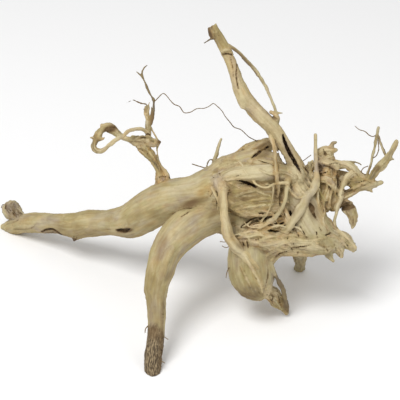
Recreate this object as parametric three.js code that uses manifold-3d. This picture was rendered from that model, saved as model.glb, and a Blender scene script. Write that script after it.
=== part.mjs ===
// A spiderwood root: the washed and dried root of a shrub, bare pale wood that grew as one piece.
// It stands on three low points: the sawn foot of its front leg, the outer end of its long arm at the
// back left and a stub at the back right. Millimetres, +Z up, the floor at z = 0.
import * as THREE from "three";
import { mergeVertices } from "three/addons/utils/BufferGeometryUtils.js";
import Module from "manifold-3d";

// Driving dimensions. A point of the wood is given as it is seen from the front: across and up in a
// plane through the heart of the wood, and how far it stands toward the eye from that plane.
const LOOK_DOWN = THREE.MathUtils.degToRad(32); // how far the front view looks down on the wood
const EYE_DISTANCE = 1800; // from the eye to the plane through the heart
const HEART_HEIGHT = 119.2; // the plane's centre above the floor
const HEART_ACROSS = 9.7; // the plane's centre beside the middle of the footprint
const HEART_BACK = -3.2; // the plane's centre behind the middle of the footprint
const RING_SPACING = 1.5; // distance between rings of a root, as a share of its middling radius
const SHORTEST_RING_SPACING = 7;
const RELIEF = 0.075; // height of the long ridges, as a share of the radius
const RIDGED_FROM = 3; // radius of the thinnest root that has ridges
const THINNEST = 0.4; // least radius
const FLOOR_BLOCK = 900; // side of the block that cuts the feet flat

// Each root is a path of stations [across, up, toward, radius].
const TRUNK_ROOTS = {
  heart: [[5, 8, 2, 22], [25, 10, 3, 30], [48, 10, 3, 34], [70, 10, 2, 34], [92, 6, 0, 28], [110, 0, -3, 20]],
  longArm: [
    [35, 10, 4, 24], [15, 10, 3, 24], [-5, 5, 0, 19.5], [-30, -1, -20, 21], [-50, -9.5, -38, 20.5],
    [-70, -20, -56, 17], [-90, -21.5, -74, 12.8], [-110, -22.7, -92, 13.7], [-124, -25, -105, 13.3],
    [-140, -23.7, -120, 10.8], [-160, -23, -139, 10.2], [-175, -23.3, -154, 9.8], [-187, -26.3, -169, 7.9],
    [-196, -26.8, -175, 3.6],
  ],
  armGnarl: [[-180, -19, -155, 6], [-186, -12, -163, 8.8], [-188, -6.5, -165, 7.6], [-186, -2.8, -165, 3.2]],
  armKnob: [[-122, -30, -104, 7], [-124.5, -37, -104, 4.2], [-126, -40.5, -104, 1.2]],
  frontLeg: [
    [35, -8, 0, 20], [15, -16, 4, 18], [0, -21, 8, 18.5], [-10, -26, 12, 19.5], [-24, -38, 18, 18.5],
    [-34, -52, 24, 16], [-40, -70, 29, 14.2], [-44, -86, 33, 12.4], [-44, -101, 36, 10],
    [-43.3, -120, 38.5, 8.8], [-44.5, -140, 40.5, 9], [-47, -160, 42, 9.2], [-47, -172, 43, 8.6],
    [-47, -178, 44, 8],
  ],
  bulb: [[50, -20, 2, 20], [49, -42, 2, 20.5], [49.5, -60, 0, 22.5], [51, -74, -2, 22.5], [53.5, -85, -4, 19],
    [56.5, -94, -6, 12.5], [59, -99, -7, 5]],
  bulbCurl: [[58, -86, -8, 9], [64, -91, -14, 8.2], [71, -93, -20, 8], [78, -100, -26, 8],
    [84, -108, -30, 5.2], [86.5, -114, -32, 1.8]],
  backStub: [[96, -35, -30, 12], [98, -48, -62, 9], [100, -58, -86, 6.6], [100, -64, -98, 6],
    [98.5, -69, -108, 6], [98, -73, -113, 5.6]],
  brokenCrest: [[25, 28, -5, 16], [40, 36.5, -9, 13], [54, 47, -11, 11], [65, 54, -12, 8.5], [72, 57.5, -12, 4.5]],
  lowerHeart: [[26, -22, -8, 15], [50, -25, -8, 18], [76, -27, -7, 18], [98, -26, -4, 17], [112, -28, 0, 12]],
  rightFlank: [[92, 2, 5, 24], [104, -16, 8, 22], [114, -32, 7, 19], [128, -40, 4, 14], [138, -42, 2, 9]],
  rightBlock: [[122, -2, 0, 14], [126, 14, 1, 12], [127, 27, 1, 11], [126.5, 39, 2, 10], [127, 46, 3, 7]],
};

const TALL_PRONG = {
  prong: [
    [14, 171, 45, 5.6], [19, 162, 43, 6.3], [25.5, 150, 40, 6.3], [31, 138, 38, 5.8], [36, 125, 35, 6.3],
    [40.5, 112, 32, 7.6], [44.5, 100, 29, 9.3], [51.5, 91, 26, 9.6], [61, 83.5, 23, 8.8],
    [69.5, 74.5, 20, 8.6], [76, 66, 18, 8.6], [82.5, 56, 15, 8.8], [89.5, 43, 11, 9.4], [96, 30, 7, 11],
    [100, 14, 4, 14],
  ],
  prongBow: [[29, 155, 41, 2], [38, 149, 41, 2.1], [46, 141, 40, 2.4], [54, 132, 38, 2.3], [62, 120, 35, 2.5],
    [68, 108, 32, 2.4], [73, 97, 29, 2.1], [75.7, 88, 25, 2.4], [76, 79, 20, 4.5]],
  bowSpur: [[75.5, 87, 25, 1.6], [79, 87.3, 25, 1.3], [82, 87, 25, 0.9]],
  prongTwig: [[15, 163, 44, 1.6], [9, 160, 44, 1], [4, 157, 44, 0.8]],
  hangingRoot: [[71, 63, 22, 3.2], [75, 52, 25, 2.7], [76, 40, 29, 2.8], [77, 28, 34, 2.9], [77.7, 18, 37, 2.8],
    [77.7, 9, 37, 2.6], [79, 0, 35, 2.6], [83, -12, 32, 2.6], [88, -25, 27, 2.8]],
};

const BODY_RIBS = {
  upperRib: [[20, 16, 24, 9], [35, 22, 28, 10], [55, 24, 30, 9], [75, 26, 28, 10], [95, 24, 18, 10]],
  bellyRib: [[28, 0, 26, 10], [45, -8, 28, 9], [62, -10, 29, 9], [80, -8, 27, 10]],
  splinterShelf: [[30, -40, 10, 10], [50, -38, 18, 11], [70, -42, 18, 11], [90, -46, 14, 11], [110, -48, 10, 11]],
  shelfRoot: [[66, -53, 10, 7], [80, -47, 18, 6.5], [96, -44, 24, 6.5], [112, -46, 22, 7.5], [124, -48, 15, 7.5],
    [134, -44, 9, 6]],
  shelfKeel: [[78, -56, 6, 5], [92, -50, 10, 7], [106, -48.5, 8, 8], [118, -48.5, 6, 8], [126, -48, 5, 7]],
  backRib: [[10, 20, -20, 12], [35, 14, -32, 11], [60, 6, -34, 11], [85, -4, -32, 11], [98, -22, -34, 12]],
  bulbRib: [[40, -10, -26, 12], [46, -34, -26, 9], [50, -56, -20, 8], [52, -72, -14, 8]],
  backSpur: [[60, 30, -22, 9], [66, 30, -46, 7], [70, 26, -64, 5]],
  backLoop: [[20, 0, -24, 5], [14, -10, -38, 3.6], [24, -20, -46, 3.2], [40, -24, -40, 3.4], [48, -30, -30, 5]],
  backTwig: [[110, -5, -12, 9], [118, 5, -26, 6], [126, 14, -34, 4.4], [128, 22, -40, 2.6]],
  sideHorn: [[106, 18, -8, 9], [108, 28, -10, 6.5], [110.5, 35, -11, 3.6], [112.5, 39, -11, 1.6]],
};

const FRONT_ROOTS = {
  strap: [[20, 17, 28, 8], [22.5, 8, 34, 5.4], [23.5, -4, 36, 5.2], [24.5, -16, 35, 5.2], [26.5, -30, 31, 5.2],
    [31, -41, 28, 5.5], [40, -52, 27, 5.5], [50, -63, 26, 5], [58, -76, 23, 4], [62.5, -88, 18, 3],
    [64.5, -94.5, 13, 2]],
  strapBranch: [[44, -55, 26, 3.5], [56, -64, 24, 3], [64, -74, 19, 2.6], [68, -84, 12, 2.4], [68, -89, 4, 3]],
  greyBow: [[66, -52, 8, 5], [71, -66, 9, 3.6], [76, -77, 4, 2.4], [80.5, -85, -4, 2.4], [83.5, -93, -13, 2.5],
    [85, -101, -22, 2.6], [84, -106, -28, 2.8]],
  leaningRoot: [[115.5, 65, 14, 2], [115.5, 50, 14, 2.3], [116, 35, 15, 2.5], [117, 22, 18, 3.2], [114, 13, 23, 4],
    [108, 3, 28, 4.3], [101, -9, 31, 4.7], [95, -19, 31, 4.7], [89, -27, 28, 4.4], [83, -33, 20, 5]],
  loopRoot: [[51, 22, 34, 2], [56, 16, 37, 1.4], [62, 12.8, 38, 1.3], [68, 12.7, 38.5, 1.3], [73, 15.5, 39.5, 1.4],
    [80, 17, 40, 1.6], [87, 17, 35, 2.4]],
  thinTendril: [[73.5, 16, 39.5, 1.4], [73, 5, 38.5, 1.2], [70.5, -6, 38.5, 1.2], [67, -14, 36, 1.2],
    [62, -20, 30, 1.4], [58, -26, 22, 2]],
  tendril: [[87, 22, 28, 4], [86.5, 8, 35, 2.3], [84, -4, 36, 2], [79, -13, 35, 2], [73, -19, 32, 2.1],
    [65, -23, 26, 2.6], [60, -30, 20, 3]],
};

const LEFT_CURL = {
  stalk: [[-37, 13, -20, 9], [-39.5, 24, -18, 5.6], [-42, 32, -16, 4], [-46.5, 40, -14, 4.6], [-52.5, 47, -12, 6],
    [-58, 53, -10, 7.2], [-60, 58, -9, 7]],
  curl: [
    [-46, 58, -11, 3.5], [-53, 59.5, -10, 5.5], [-61, 58, -9, 6.8], [-69, 59.5, -8, 4.4], [-76, 62.5, -7, 3.5],
    [-82, 66, -6, 4], [-88, 71, -4, 4.6], [-94, 72.2, -2, 4.6], [-100, 69, 0, 5], [-103.5, 62.5, 1, 4.8],
    [-105.5, 57, 2, 3.8], [-106.3, 52, 3, 2.9], [-102.5, 48.2, 4, 2.4], [-97, 50, 6, 2.3], [-91, 55.5, 7, 2.3],
    [-83, 61, 8, 2.4], [-77, 64.5, 8, 2.4], [-72, 69, 6, 2], [-66, 70.6, 3, 2], [-59, 70.8, 0, 2.2],
    [-54, 68.5, -4, 2.6], [-51, 64, -7, 3],
  ],
  upright: [[-52, 60, -8, 4.5], [-51.7, 68, -8, 3.2], [-51.5, 75, -8, 2.6], [-52, 82, -8, 2], [-53, 88, -7, 1.6],
    [-55, 93, -7, 1]],
  antler: [[-50.5, 78, -8, 2.4], [-47, 86, -8, 1.7], [-46, 95, -8, 1.4], [-46.5, 100, -8, 1.6],
    [-49.5, 105, -8, 1.2], [-52.5, 111, -8, 1.6], [-54.5, 117, -8, 1.2], [-57.5, 123, -7, 1.3],
    [-58, 128, -7, 1], [-56, 132, -7, 0.9], [-53, 134.5, -7, 0.7]],
  antlerFork: [[-57.8, 123.5, -7, 1], [-61, 126, -7, 0.9], [-63.5, 128, -7, 0.7]],
  sideTwig: [[-52.5, 89, -7, 1.2], [-54, 95.5, -7, 0.9], [-58, 96.5, -7, 0.9], [-63, 98.5, -7, 0.8],
    [-68, 99.8, -7, 0.6]],
  stay: [[-50.5, 74, -9, 1.4], [-46, 67, -10, 1.1], [-43, 61, -11, 1.5], [-41.5, 57, -12, 2.4],
    [-43, 51, -13, 1.1], [-42, 43, -14, 1], [-39, 35, -15, 1.3], [-35, 28, -17, 2.4]],
};

const RIGHT_TANGLE = {
  blockStub: [[127, 45, 4, 6], [132, 52.5, 5, 4], [136.5, 56, 6, 3]],
  arch: [[129, 34, 3, 8], [139, 36, 5, 4.8], [147, 36, 6, 4.2], [153, 31, 6, 4], [158, 26, 6, 3.6],
    [165, 20.5, 6, 4], [172, 16, 6, 5.2]],
  archTwig: [[149, 37, 6, 1.8], [155, 38, 6, 1], [159, 36.5, 6, 0.8], [161.5, 35, 6, 0.6]],
  underArch: [[129, 31, -3, 6], [140, 26.5, -5, 3], [149, 25.5, -2, 3], [158, 21, 3, 3.5]],
  paleRoot: [[152, 27, 8, 4.2], [147, 23, 11, 4], [143, 16, 12, 3.6], [141, 8, 11, 3.4], [140, 0, 10, 3.2],
    [137, -7, 9, 3.8], [136.3, -13, 8, 2.4], [134.5, -21, 5, 1.8], [134.5, -27, 4, 3.2], [137, -34, 3, 5]],
  fanFoot: [[134, -2, 2, 6], [143, 3, 3, 4.6], [151, 7.5, 4, 4], [160, 12.5, 6, 4.6], [168, 14, 6, 5.6],
    [174, 15.5, 6, 4.4]],
  fanRib: [[150, 25, 6, 3.6], [160, 21, 8, 3.4], [170, 17, 7, 4]],
  fanKnob: [[172, 16, 6, 4.6], [177, 16, 6, 3], [181.5, 17.3, 6, 2.6]],
  uprightTwig: [[165, 20, 6, 2.8], [169, 30, 6, 2], [171, 37, 6, 2.2], [173, 46, 6, 2.3], [175, 55, 6, 2.3],
    [177, 65, 7, 2.2], [178.6, 72.5, 7, 1.8]],
  stoutTwig: [[168, 17, 6, 5], [173, 25, 8, 4.7], [179, 32, 9, 4.8], [185, 38.5, 10, 4.8], [190.5, 46, 10, 4.3],
    [194, 53, 10, 3.4], [196.5, 58.5, 10, 2.6]],
  stoutKnob: [[187, 41, 10, 3], [193.5, 40.5, 10, 1.3]],
  crossTwig: [[178, 64, 7, 1.4], [182, 53, 8, 1.2], [186, 44, 9, 1.6]],
  beak: [[130, -2, 0, 8], [138, -2, 0, 7], [145, -4, 1, 7], [151, -10, 2, 6.8], [154.5, -18, 2, 4.6],
    [154, -24, 2, 3], [153, -28, 2, 1.3]],
  column: [[122, 2, 5, 7], [121, -10, 8, 4.6], [122.5, -18, 9, 5], [127, -26, 8, 6.4], [132, -33, 5, 7]],
  greyProng: [[124, -42, 6, 6], [128, -52, 8, 4.2], [131, -58, 8, 3], [133.3, -61, 8, 2.3]],
  middleProng: [[133, -36, 5, 8], [137, -45, 6, 6], [140, -52, 6, 4.8], [141.3, -56, 6, 2.6]],
  outerProng: [[134, -34, 3, 8], [142, -38, 3, 7.5], [148, -44, 3, 6.5], [151.5, -48.5, 3, 4.5]],
};

const CREST_TWIGS = {
  crestTwig: [[16, 26, -2, 4], [14.7, 40, -4, 1.9], [16.7, 47, -4, 1.8], [19, 55, -4, 1.7], [21.5, 61, -4, 1.3]],
  darkHook: [[16, 38.5, -4, 1], [10.5, 40.5, -1, 0.9], [8, 38, 1, 0.8], [6, 29, 3, 1]],
};

// Hollows in the wood: an ellipsoid of half sizes [along, across, deep], its middle at
// [across, up, toward] and its length turned by so many degrees from level, seen from the front.
const HOLLOWS = [
  { name: "prong slot", at: [91.8, 46, 23], half: [21, 3, 11], turn: -64 },
  { name: "hollow under the belly", at: [55, -21.5, 30], half: [14, 5.5, 17], turn: 14 },
  { name: "slit above the belly", at: [47, 17.5, 37], half: [10, 2.4, 9], turn: -17 },
  { name: "crack in the crest", at: [59, 47.5, 2], half: [9, 1.5, 8], turn: 38 },
  { name: "hole in the right flank", at: [113.8, -9, 24], half: [8.5, 3.2, 14], turn: -78 },
];

// From [across, up, toward] as seen from the front to the wood's own frame.
const toStand = new THREE.Matrix4()
  .makeRotationX(Math.PI / 2 - LOOK_DOWN)
  .setPosition(HEART_ACROSS, HEART_BACK, HEART_HEIGHT);

// What lies behind the plane spreads out from the line of sight, and what lies in front draws in.
function spread(toward) {
  return 1 - toward / EYE_DISTANCE;
}

function standingPoint([across, up, toward]) {
  const k = spread(toward);
  return new THREE.Vector3(across * k, up * k, toward).applyMatrix4(toStand);
}

// More sides on a thicker root.
function sidesFor(radius) {
  const steps = [[16, 13], [10, 11], [6, 8], [3.5, 6], [0, 5]];
  const [, sides] = steps.find(([least]) => radius >= least);
  return sides;
}

// The long ridges of the wood wind slowly round the root: 1 is the plain radius.
function ridges(angle, share, seed) {
  const wide = Math.cos(3 * angle + 5 * share + seed);
  const narrow = Math.cos(5 * angle - 7 * share + 1.7 * seed);
  return 1 + RELIEF * (0.6 * wide + 0.4 * narrow);
}

// A closed tube along the stations: a unit cylinder whose rings are carried onto the path.
function rootGeometry(stations, seed) {
  const path = new THREE.CatmullRomCurve3(stations.map(standingPoint), false, "centripetal");
  const radii = stations.map(([, , toward, radius]) => radius * spread(toward));
  const girth = new THREE.SplineCurve(radii.map((radius, i) => new THREE.Vector2(i, radius)));
  const thickest = Math.max(...radii);
  const middling = radii.reduce((sum, radius) => sum + radius, 0) / radii.length;
  const spacing = Math.max(SHORTEST_RING_SPACING, RING_SPACING * middling);
  const rings = Math.max(stations.length, Math.round(path.getLength() / spacing));
  const frames = path.computeFrenetFrames(rings);
  const tube = new THREE.CylinderGeometry(1, 1, 1, sidesFor(thickest), rings);
  const place = tube.attributes.position;
  for (let i = 0; i < place.count; i++) {
    const share = 0.5 - place.getY(i);
    const ring = Math.round(share * rings);
    const offset = new THREE.Vector2(place.getX(i), place.getZ(i));
    const radius = Math.max(THINNEST, girth.getPoint(path.getUtoTmapping(ring / rings)).y);
    const relief = thickest > RIDGED_FROM ? ridges(offset.angle(), share, seed) : 1;
    const point = path
      .getPointAt(ring / rings)
      .addScaledVector(frames.normals[ring], offset.x * radius * relief)
      .addScaledVector(frames.binormals[ring], offset.y * radius * relief);
    place.setXYZ(i, point.x, point.y, point.z);
  }
  return tube;
}

function hollowGeometry({ at, half: [along, across, deep], turn }) {
  const ball = new THREE.SphereGeometry(1, 8, 5).scale(along, across, deep);
  const k = spread(at[2]);
  return ball
    .rotateZ(THREE.MathUtils.degToRad(turn))
    .translate(at[0] * k, at[1] * k, at[2])
    .applyMatrix4(toStand);
}

const wasm = await Module();
wasm.setup();

function toSolid(geometry) {
  const bare = geometry.clone();
  bare.deleteAttribute("normal");
  bare.deleteAttribute("uv");
  const merged = mergeVertices(bare, 1e-4);
  return new wasm.Manifold(
    new wasm.Mesh({
      numProp: 3,
      vertProperties: new Float32Array(merged.attributes.position.array),
      triVerts: new Uint32Array(merged.index.array),
    }),
  );
}

// The outer skin of the largest body: sealed hollows are filled and loose scraps are dropped.
function largestBody(solid) {
  return solid.decompose().reduce((best, body) => (body.volume() > best.volume() ? body : best));
}

function toGeometry(solid) {
  const mesh = solid.getMesh();
  const geometry = new THREE.BufferGeometry();
  geometry.setAttribute("position", new THREE.BufferAttribute(new Float32Array(mesh.vertProperties), 3));
  geometry.setIndex(new THREE.BufferAttribute(new Uint32Array(mesh.triVerts), 1));
  geometry.computeVertexNormals();
  return geometry;
}

const groups = [TRUNK_ROOTS, TALL_PRONG, BODY_RIBS, FRONT_ROOTS, LEFT_CURL, RIGHT_TANGLE, CREST_TWIGS];
const paths = groups.flatMap((group) => Object.values(group));
const grown = paths
  .map((stations, i) => toSolid(rootGeometry(stations, i)))
  .reduce((wood, root) => wood.add(root));
const hollowed = HOLLOWS.map((hollow) => toSolid(hollowGeometry(hollow))).reduce(
  (wood, hollow) => wood.subtract(hollow),
  grown,
);
const underFloor = toSolid(
  new THREE.BoxGeometry(FLOOR_BLOCK, FLOOR_BLOCK, FLOOR_BLOCK).translate(0, 0, -FLOOR_BLOCK / 2),
);
const wood = largestBody(hollowed.subtract(underFloor));

const bareWood = new THREE.MeshStandardMaterial({ color: 0xc4b283, roughness: 0.75, metalness: 0 });
const root = new THREE.Mesh(toGeometry(wood), bareWood);
root.name = "spiderwood_root";

const group = new THREE.Group();
group.add(root);

export default group;
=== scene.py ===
"""A spiderwood root: the washed and dried root of a shrub, one piece of bare pale wood."""

import math

import bpy
import numpy as np
import openvdb
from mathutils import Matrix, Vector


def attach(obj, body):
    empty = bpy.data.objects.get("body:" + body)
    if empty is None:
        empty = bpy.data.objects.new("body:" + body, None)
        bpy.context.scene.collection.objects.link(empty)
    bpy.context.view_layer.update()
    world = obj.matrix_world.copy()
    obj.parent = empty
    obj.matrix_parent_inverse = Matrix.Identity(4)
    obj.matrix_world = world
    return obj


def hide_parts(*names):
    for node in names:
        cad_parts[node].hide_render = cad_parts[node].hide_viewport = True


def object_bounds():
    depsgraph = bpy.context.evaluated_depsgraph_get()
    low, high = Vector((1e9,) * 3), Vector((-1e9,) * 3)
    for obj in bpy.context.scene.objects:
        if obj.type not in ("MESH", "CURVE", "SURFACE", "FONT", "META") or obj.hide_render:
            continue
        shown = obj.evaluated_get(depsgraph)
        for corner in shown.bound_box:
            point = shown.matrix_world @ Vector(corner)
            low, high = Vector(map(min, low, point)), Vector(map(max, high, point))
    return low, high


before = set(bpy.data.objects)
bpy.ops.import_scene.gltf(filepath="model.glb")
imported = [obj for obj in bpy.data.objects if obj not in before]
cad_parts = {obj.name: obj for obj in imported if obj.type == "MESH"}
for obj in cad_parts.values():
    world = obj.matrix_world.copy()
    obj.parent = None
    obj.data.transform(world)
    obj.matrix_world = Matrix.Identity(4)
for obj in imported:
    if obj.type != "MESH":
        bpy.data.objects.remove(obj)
solid_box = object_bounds()

# The front view
# The root is looked at from its front and a little from above, through a long lens. Its parts are placed as
# they are seen from there, in millimetres: across and up in a plane through its heart, and toward the eye.
LOOK_DOWN = math.radians(32)
EYE_DISTANCE = 1800.0
VIEW_WIDTH = 400.0
SENSOR_WIDTH = 36.0
MM = 0.001
HEART = np.array([9.7, -3.2, 119.2])
SIDEWAYS = np.array([1.0, 0.0, 0.0])
UPWARD = np.array([0.0, math.sin(LOOK_DOWN), math.cos(LOOK_DOWN)])
TOWARD = np.array([0.0, -math.cos(LOOK_DOWN), math.sin(LOOK_DOWN)])


def stand(seen):
    """Where a point of the front view stands: heart + k across sideways + k up upward + toward the eye,
    where k = 1 - toward / eye distance shrinks what is nearer, because it looks larger."""
    across, up, toward = np.moveaxis(np.asarray(seen, float), -1, 0)
    k = 1 - toward / EYE_DISTANCE
    return (
        HEART
        + (across * k)[..., None] * SIDEWAYS
        + (up * k)[..., None] * UPWARD
        + toward[..., None] * TOWARD
    )


def seen_from_front(points):
    """The other way: what point of the front view, as across, up and toward, a standing point is."""
    away = points - HEART
    toward = away @ TOWARD
    k = 1 - toward / EYE_DISTANCE
    return np.stack([away @ SIDEWAYS / k, away @ UPWARD / k, toward], axis=-1)


eye = bpy.data.cameras.new("front_view")
eye.sensor_width = SENSOR_WIDTH
eye.lens = SENSOR_WIDTH * EYE_DISTANCE / VIEW_WIDTH
eye.clip_end = 20.0
camera = bpy.data.objects.new("front_view", eye)
bpy.context.scene.collection.objects.link(camera)
camera.location = (HEART + EYE_DISTANCE * TOWARD) * MM
camera.rotation_euler = (math.pi / 2 - LOOK_DOWN, 0.0, 0.0)
bpy.context.scene.camera = camera

# The growing wood
# Every root of the plant is a path with its own thickness and its own shade of wood, and a stout root
# carries strands that have grown onto it. Each section below adds its roots, and all of them then grow into
# one skin.
WAVE_HEIGHT = 1.4
PATH_PIECES = 12
FINEST_STEP = 0.5
COARSEST_STEP = 3.0
STEP_SHARE = 0.3
LEAST_RADIUS = 0.3
KINK = 0.30
KINK_LENGTH = 3.5
SWELL = 0.20
SLIM_SWELL = 0.14
SLIM_RADIUS = 6.0
SWELL_LENGTH = 2.2
SWAY_LIMIT = 5.0
SLIMMEST_RIBBED = 2.0
STRAND_COUNT = (3, 8)
STRAND_EVERY = 3.5
STRAND_SHARE = (0.30, 0.45)
STRAND_SPREAD = (0.8, 1.15)
STRAND_BEGINS = (0.0, 0.35)
STRAND_ENDS = (0.65, 1.0)
STRAND_DRIFT = 0.5
STRAND_JITTER = 0.35
STRAND_THINNEST = 0.35
STRAND_LIGHT = 0.35
STRAND_HUE = 0.15
STRAND_FILLET = 0.35
SHADES = {
    "pale": (0.12, 0.10, 0.00, 0.0),
    "sandy": (0.30, 0.00, 0.10, 0.0),
    "green": (0.00, 0.55, 0.00, 0.0),
    "straw": (0.25, 0.00, 0.85, 0.0),
    "ochre": (0.85, 0.00, 0.00, 0.0),
    "grey": (0.00, 1.00, 0.00, -0.1),
    "brown": (0.30, 0.70, 0.00, -1.7),
}
limbs = []
chance = np.random.default_rng(7)


def ripple(where, seed):
    """Smooth random waves, about -1 to 1 and one unit long: at each corner of the unit cell a random slope,
    faded between the corners by 6w⁵ - 15w⁴ + 10w³."""
    cell = np.floor(where).astype(np.int64)
    part = where - cell
    fade = part**3 * (part * (part * 6 - 15) + 10)
    total = np.zeros(where.shape[:-1])
    for corner in np.ndindex(2, 2, 2):
        x, y, z = np.moveaxis(cell + corner, -1, 0)
        key = (x * 73856093) ^ (y * 19349663) ^ (z * 83492791) ^ (seed * 2654435761)
        key = (key ^ (key >> 13)) * 1274126177
        key ^= key >> 16
        slope = np.stack([key & 255, (key >> 8) & 255, (key >> 16) & 255], axis=-1) / 127.5 - 1
        share = np.prod(np.where(np.array(corner) == 1, fade, 1 - fade), axis=-1)
        total += share * np.sum(slope * (part - corner), axis=-1)
    return total * WAVE_HEIGHT


def wander(along, length, seed):
    """The same waves along a line, each about this long."""
    return ripple(np.stack([along / length, 0 * along, 0 * along], axis=1) + 0.5, seed)


def curve_through(stations, step):
    """Rows at even steps along a centripetal Catmull-Rom curve through the stations, and their distances
    along. Between two stations the curve is the cubic that leaves and arrives at the speeds of the
    quadratics through three stations, timed by the square roots of their distances."""
    ends = np.concatenate([2 * stations[:1] - stations[1:2], stations, 2 * stations[-1:] - stations[-2:-1]])
    ends[[0, -1], 3] = stations[[0, -1], 3]
    time = np.sqrt(np.linalg.norm(np.diff(ends[:, :3], axis=0), axis=1))[:, None]
    before, here, after = time[:-2], time[1:-1], time[2:]
    p0, p1, p2, p3 = ends[:-3], ends[1:-2], ends[2:-1], ends[3:]
    leave = ((p1 - p0) / before - (p2 - p0) / (before + here) + (p2 - p1) / here) * here
    arrive = ((p2 - p1) / here - (p3 - p1) / (here + after) + (p3 - p2) / after) * here
    w = np.linspace(0, 1, PATH_PIECES, endpoint=False)[None, :, None]
    curve = ((2 * w - 3) * w * w + 1) * p1[:, None] + ((w - 2) * w * w + w) * leave[:, None]
    curve = curve + (3 - 2 * w) * w * w * p2[:, None] + (w - 1) * w * w * arrive[:, None]
    curve = np.concatenate([curve.reshape(-1, 4), stations[-1:]])
    far = np.concatenate([[0], np.cumsum(np.linalg.norm(np.diff(curve[:, :3], axis=0), axis=1))])
    along = np.linspace(0, far[-1], max(3, math.ceil(far[-1] / step) + 1))
    return np.stack([np.interp(along, far, column) for column in curve.T], axis=1), along


def trace(stations, step, seed):
    """A root's path: points at even steps along the curve through the stations, each a standing point and a
    radius, with the radii, distances along, tangents and two crosswise directions. The first crosswise
    direction is the one that the whole path runs along least, squared to the tangent, and the second is
    square to both. The path then sways by KINK of its radius and the radius swells by SWELL, in random
    waves, and a root slimmer than SLIM_RADIUS swells by up to SLIM_SWELL more."""
    rows, along = curve_through(stations, step)
    points, radius = rows[:, :3], np.maximum(rows[:, 3], LEAST_RADIUS)
    tangent = np.gradient(points, axis=0)
    tangent /= np.linalg.norm(tangent, axis=1)[:, None]
    least = np.linalg.eigh(tangent.T @ tangent)[1][:, 0]
    first = least - (tangent @ least)[:, None] * tangent
    first /= np.linalg.norm(first, axis=1)[:, None]
    second = np.cross(tangent, first)
    slim, middling = np.minimum(radius, SWAY_LIMIT), radius.mean()
    sideways = KINK * slim * wander(along, KINK_LENGTH * middling, seed * 3 + 1)
    lengthways = KINK * slim * wander(along, KINK_LENGTH * middling, seed * 3 + 2)
    points = points + sideways[:, None] * first + lengthways[:, None] * second
    swell = SWELL + SLIM_SWELL * np.clip(2 - 2 * middling / SLIM_RADIUS, 0, 1)
    radius = radius + swell * slim * wander(along, SWELL_LENGTH * middling, seed * 3)
    return points, radius, along, tangent, first, second


def add_limb(path, shade, fillet, rough=1.0, over=False):
    """Adds one path to the plant. Its shade is how ochre, grey and straw-coloured it is and how light. A
    root that lies over the others bridges their hollows."""
    limbs.append({"path": path, "shade": shade, "fillet": fillet, "rough": rough, "over": over})


def add_strands(path, shade, fillet, ribbing, rough, over):
    """Lays strands on a root, one for every STRAND_EVERY of its radius and two more. Each runs along a
    stretch of it at an angle that starts evenly spaced and drifts, its middle (1 - s) of the root's radius
    out and its own radius s (1 + ribbing) of it, narrowing at its ends by the square root of the sine from
    end to end."""
    points, radius, along, _, first, second = path
    middling, length = radius.mean(), along[-1]
    count = int(np.clip(round(2 + middling / STRAND_EVERY), *STRAND_COUNT))
    for number in range(count):
        share = (STRAND_SHARE[0] + STRAND_SHARE[1] / count) * chance.uniform(*STRAND_SPREAD)
        begin, finish = chance.uniform(*STRAND_BEGINS), chance.uniform(*STRAND_ENDS)
        twist = chance.normal(0, STRAND_DRIFT) / (8 * middling)
        place = number + chance.uniform(-STRAND_JITTER, STRAND_JITTER)
        turn = 2 * math.pi * place / count + twist * along
        turn = turn + STRAND_DRIFT * wander(along, 6 * middling, len(limbs))
        out = np.cos(turn)[:, None] * first + np.sin(turn)[:, None] * second
        narrowing = np.clip((along / length - begin) / (finish - begin), 0, 1)
        girth = radius * share * (1 + ribbing) * np.sqrt(np.sin(math.pi * narrowing))
        keep = np.flatnonzero(girth > STRAND_THINNEST * share * radius)
        light, shift = chance.normal(0, STRAND_LIGHT), chance.normal(0, STRAND_HUE)
        own_shade = np.clip(np.array(shade) + (shift, -shift, 0.5 * shift, light), (0, 0, 0, -2), 1)
        if len(keep) > 6:
            rows = np.column_stack([points + (radius * (1 - share))[:, None] * out, girth])[keep]
            step = np.clip(0.4 * girth[keep].min(), FINEST_STEP, COARSEST_STEP)
            add_limb(trace(rows[::3], step, len(limbs)), own_shade, STRAND_FILLET * fillet, rough, over)


def add_roots(fillet, ribbing, roots, rough=1.0, over=False):
    """Adds a section's roots, given as shade and stations of across, up, toward and radius. Each runs into
    the wood around it with a fillet of this width, and its strands, if it has any, stand proud by about
    this share of its radius."""
    for shade, stations in roots.values():
        stations = np.array(stations, float)
        radius = stations[:, 3] * (1 - stations[:, 2] / EYE_DISTANCE)
        rows = np.column_stack([stand(stations[:, :3]), radius])
        step = np.clip(STEP_SHARE * rows[:, 3].min(), FINEST_STEP, COARSEST_STEP)
        path = trace(rows, step, len(limbs))
        add_limb((path[0], path[1] * (1 - ribbing), *path[2:]), SHADES[shade], fillet, rough, over)
        if ribbing > 0 and rows[:, 3].mean() > SLIMMEST_RIBBED:
            add_strands(path, SHADES[shade], fillet, ribbing, rough, over)


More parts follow.
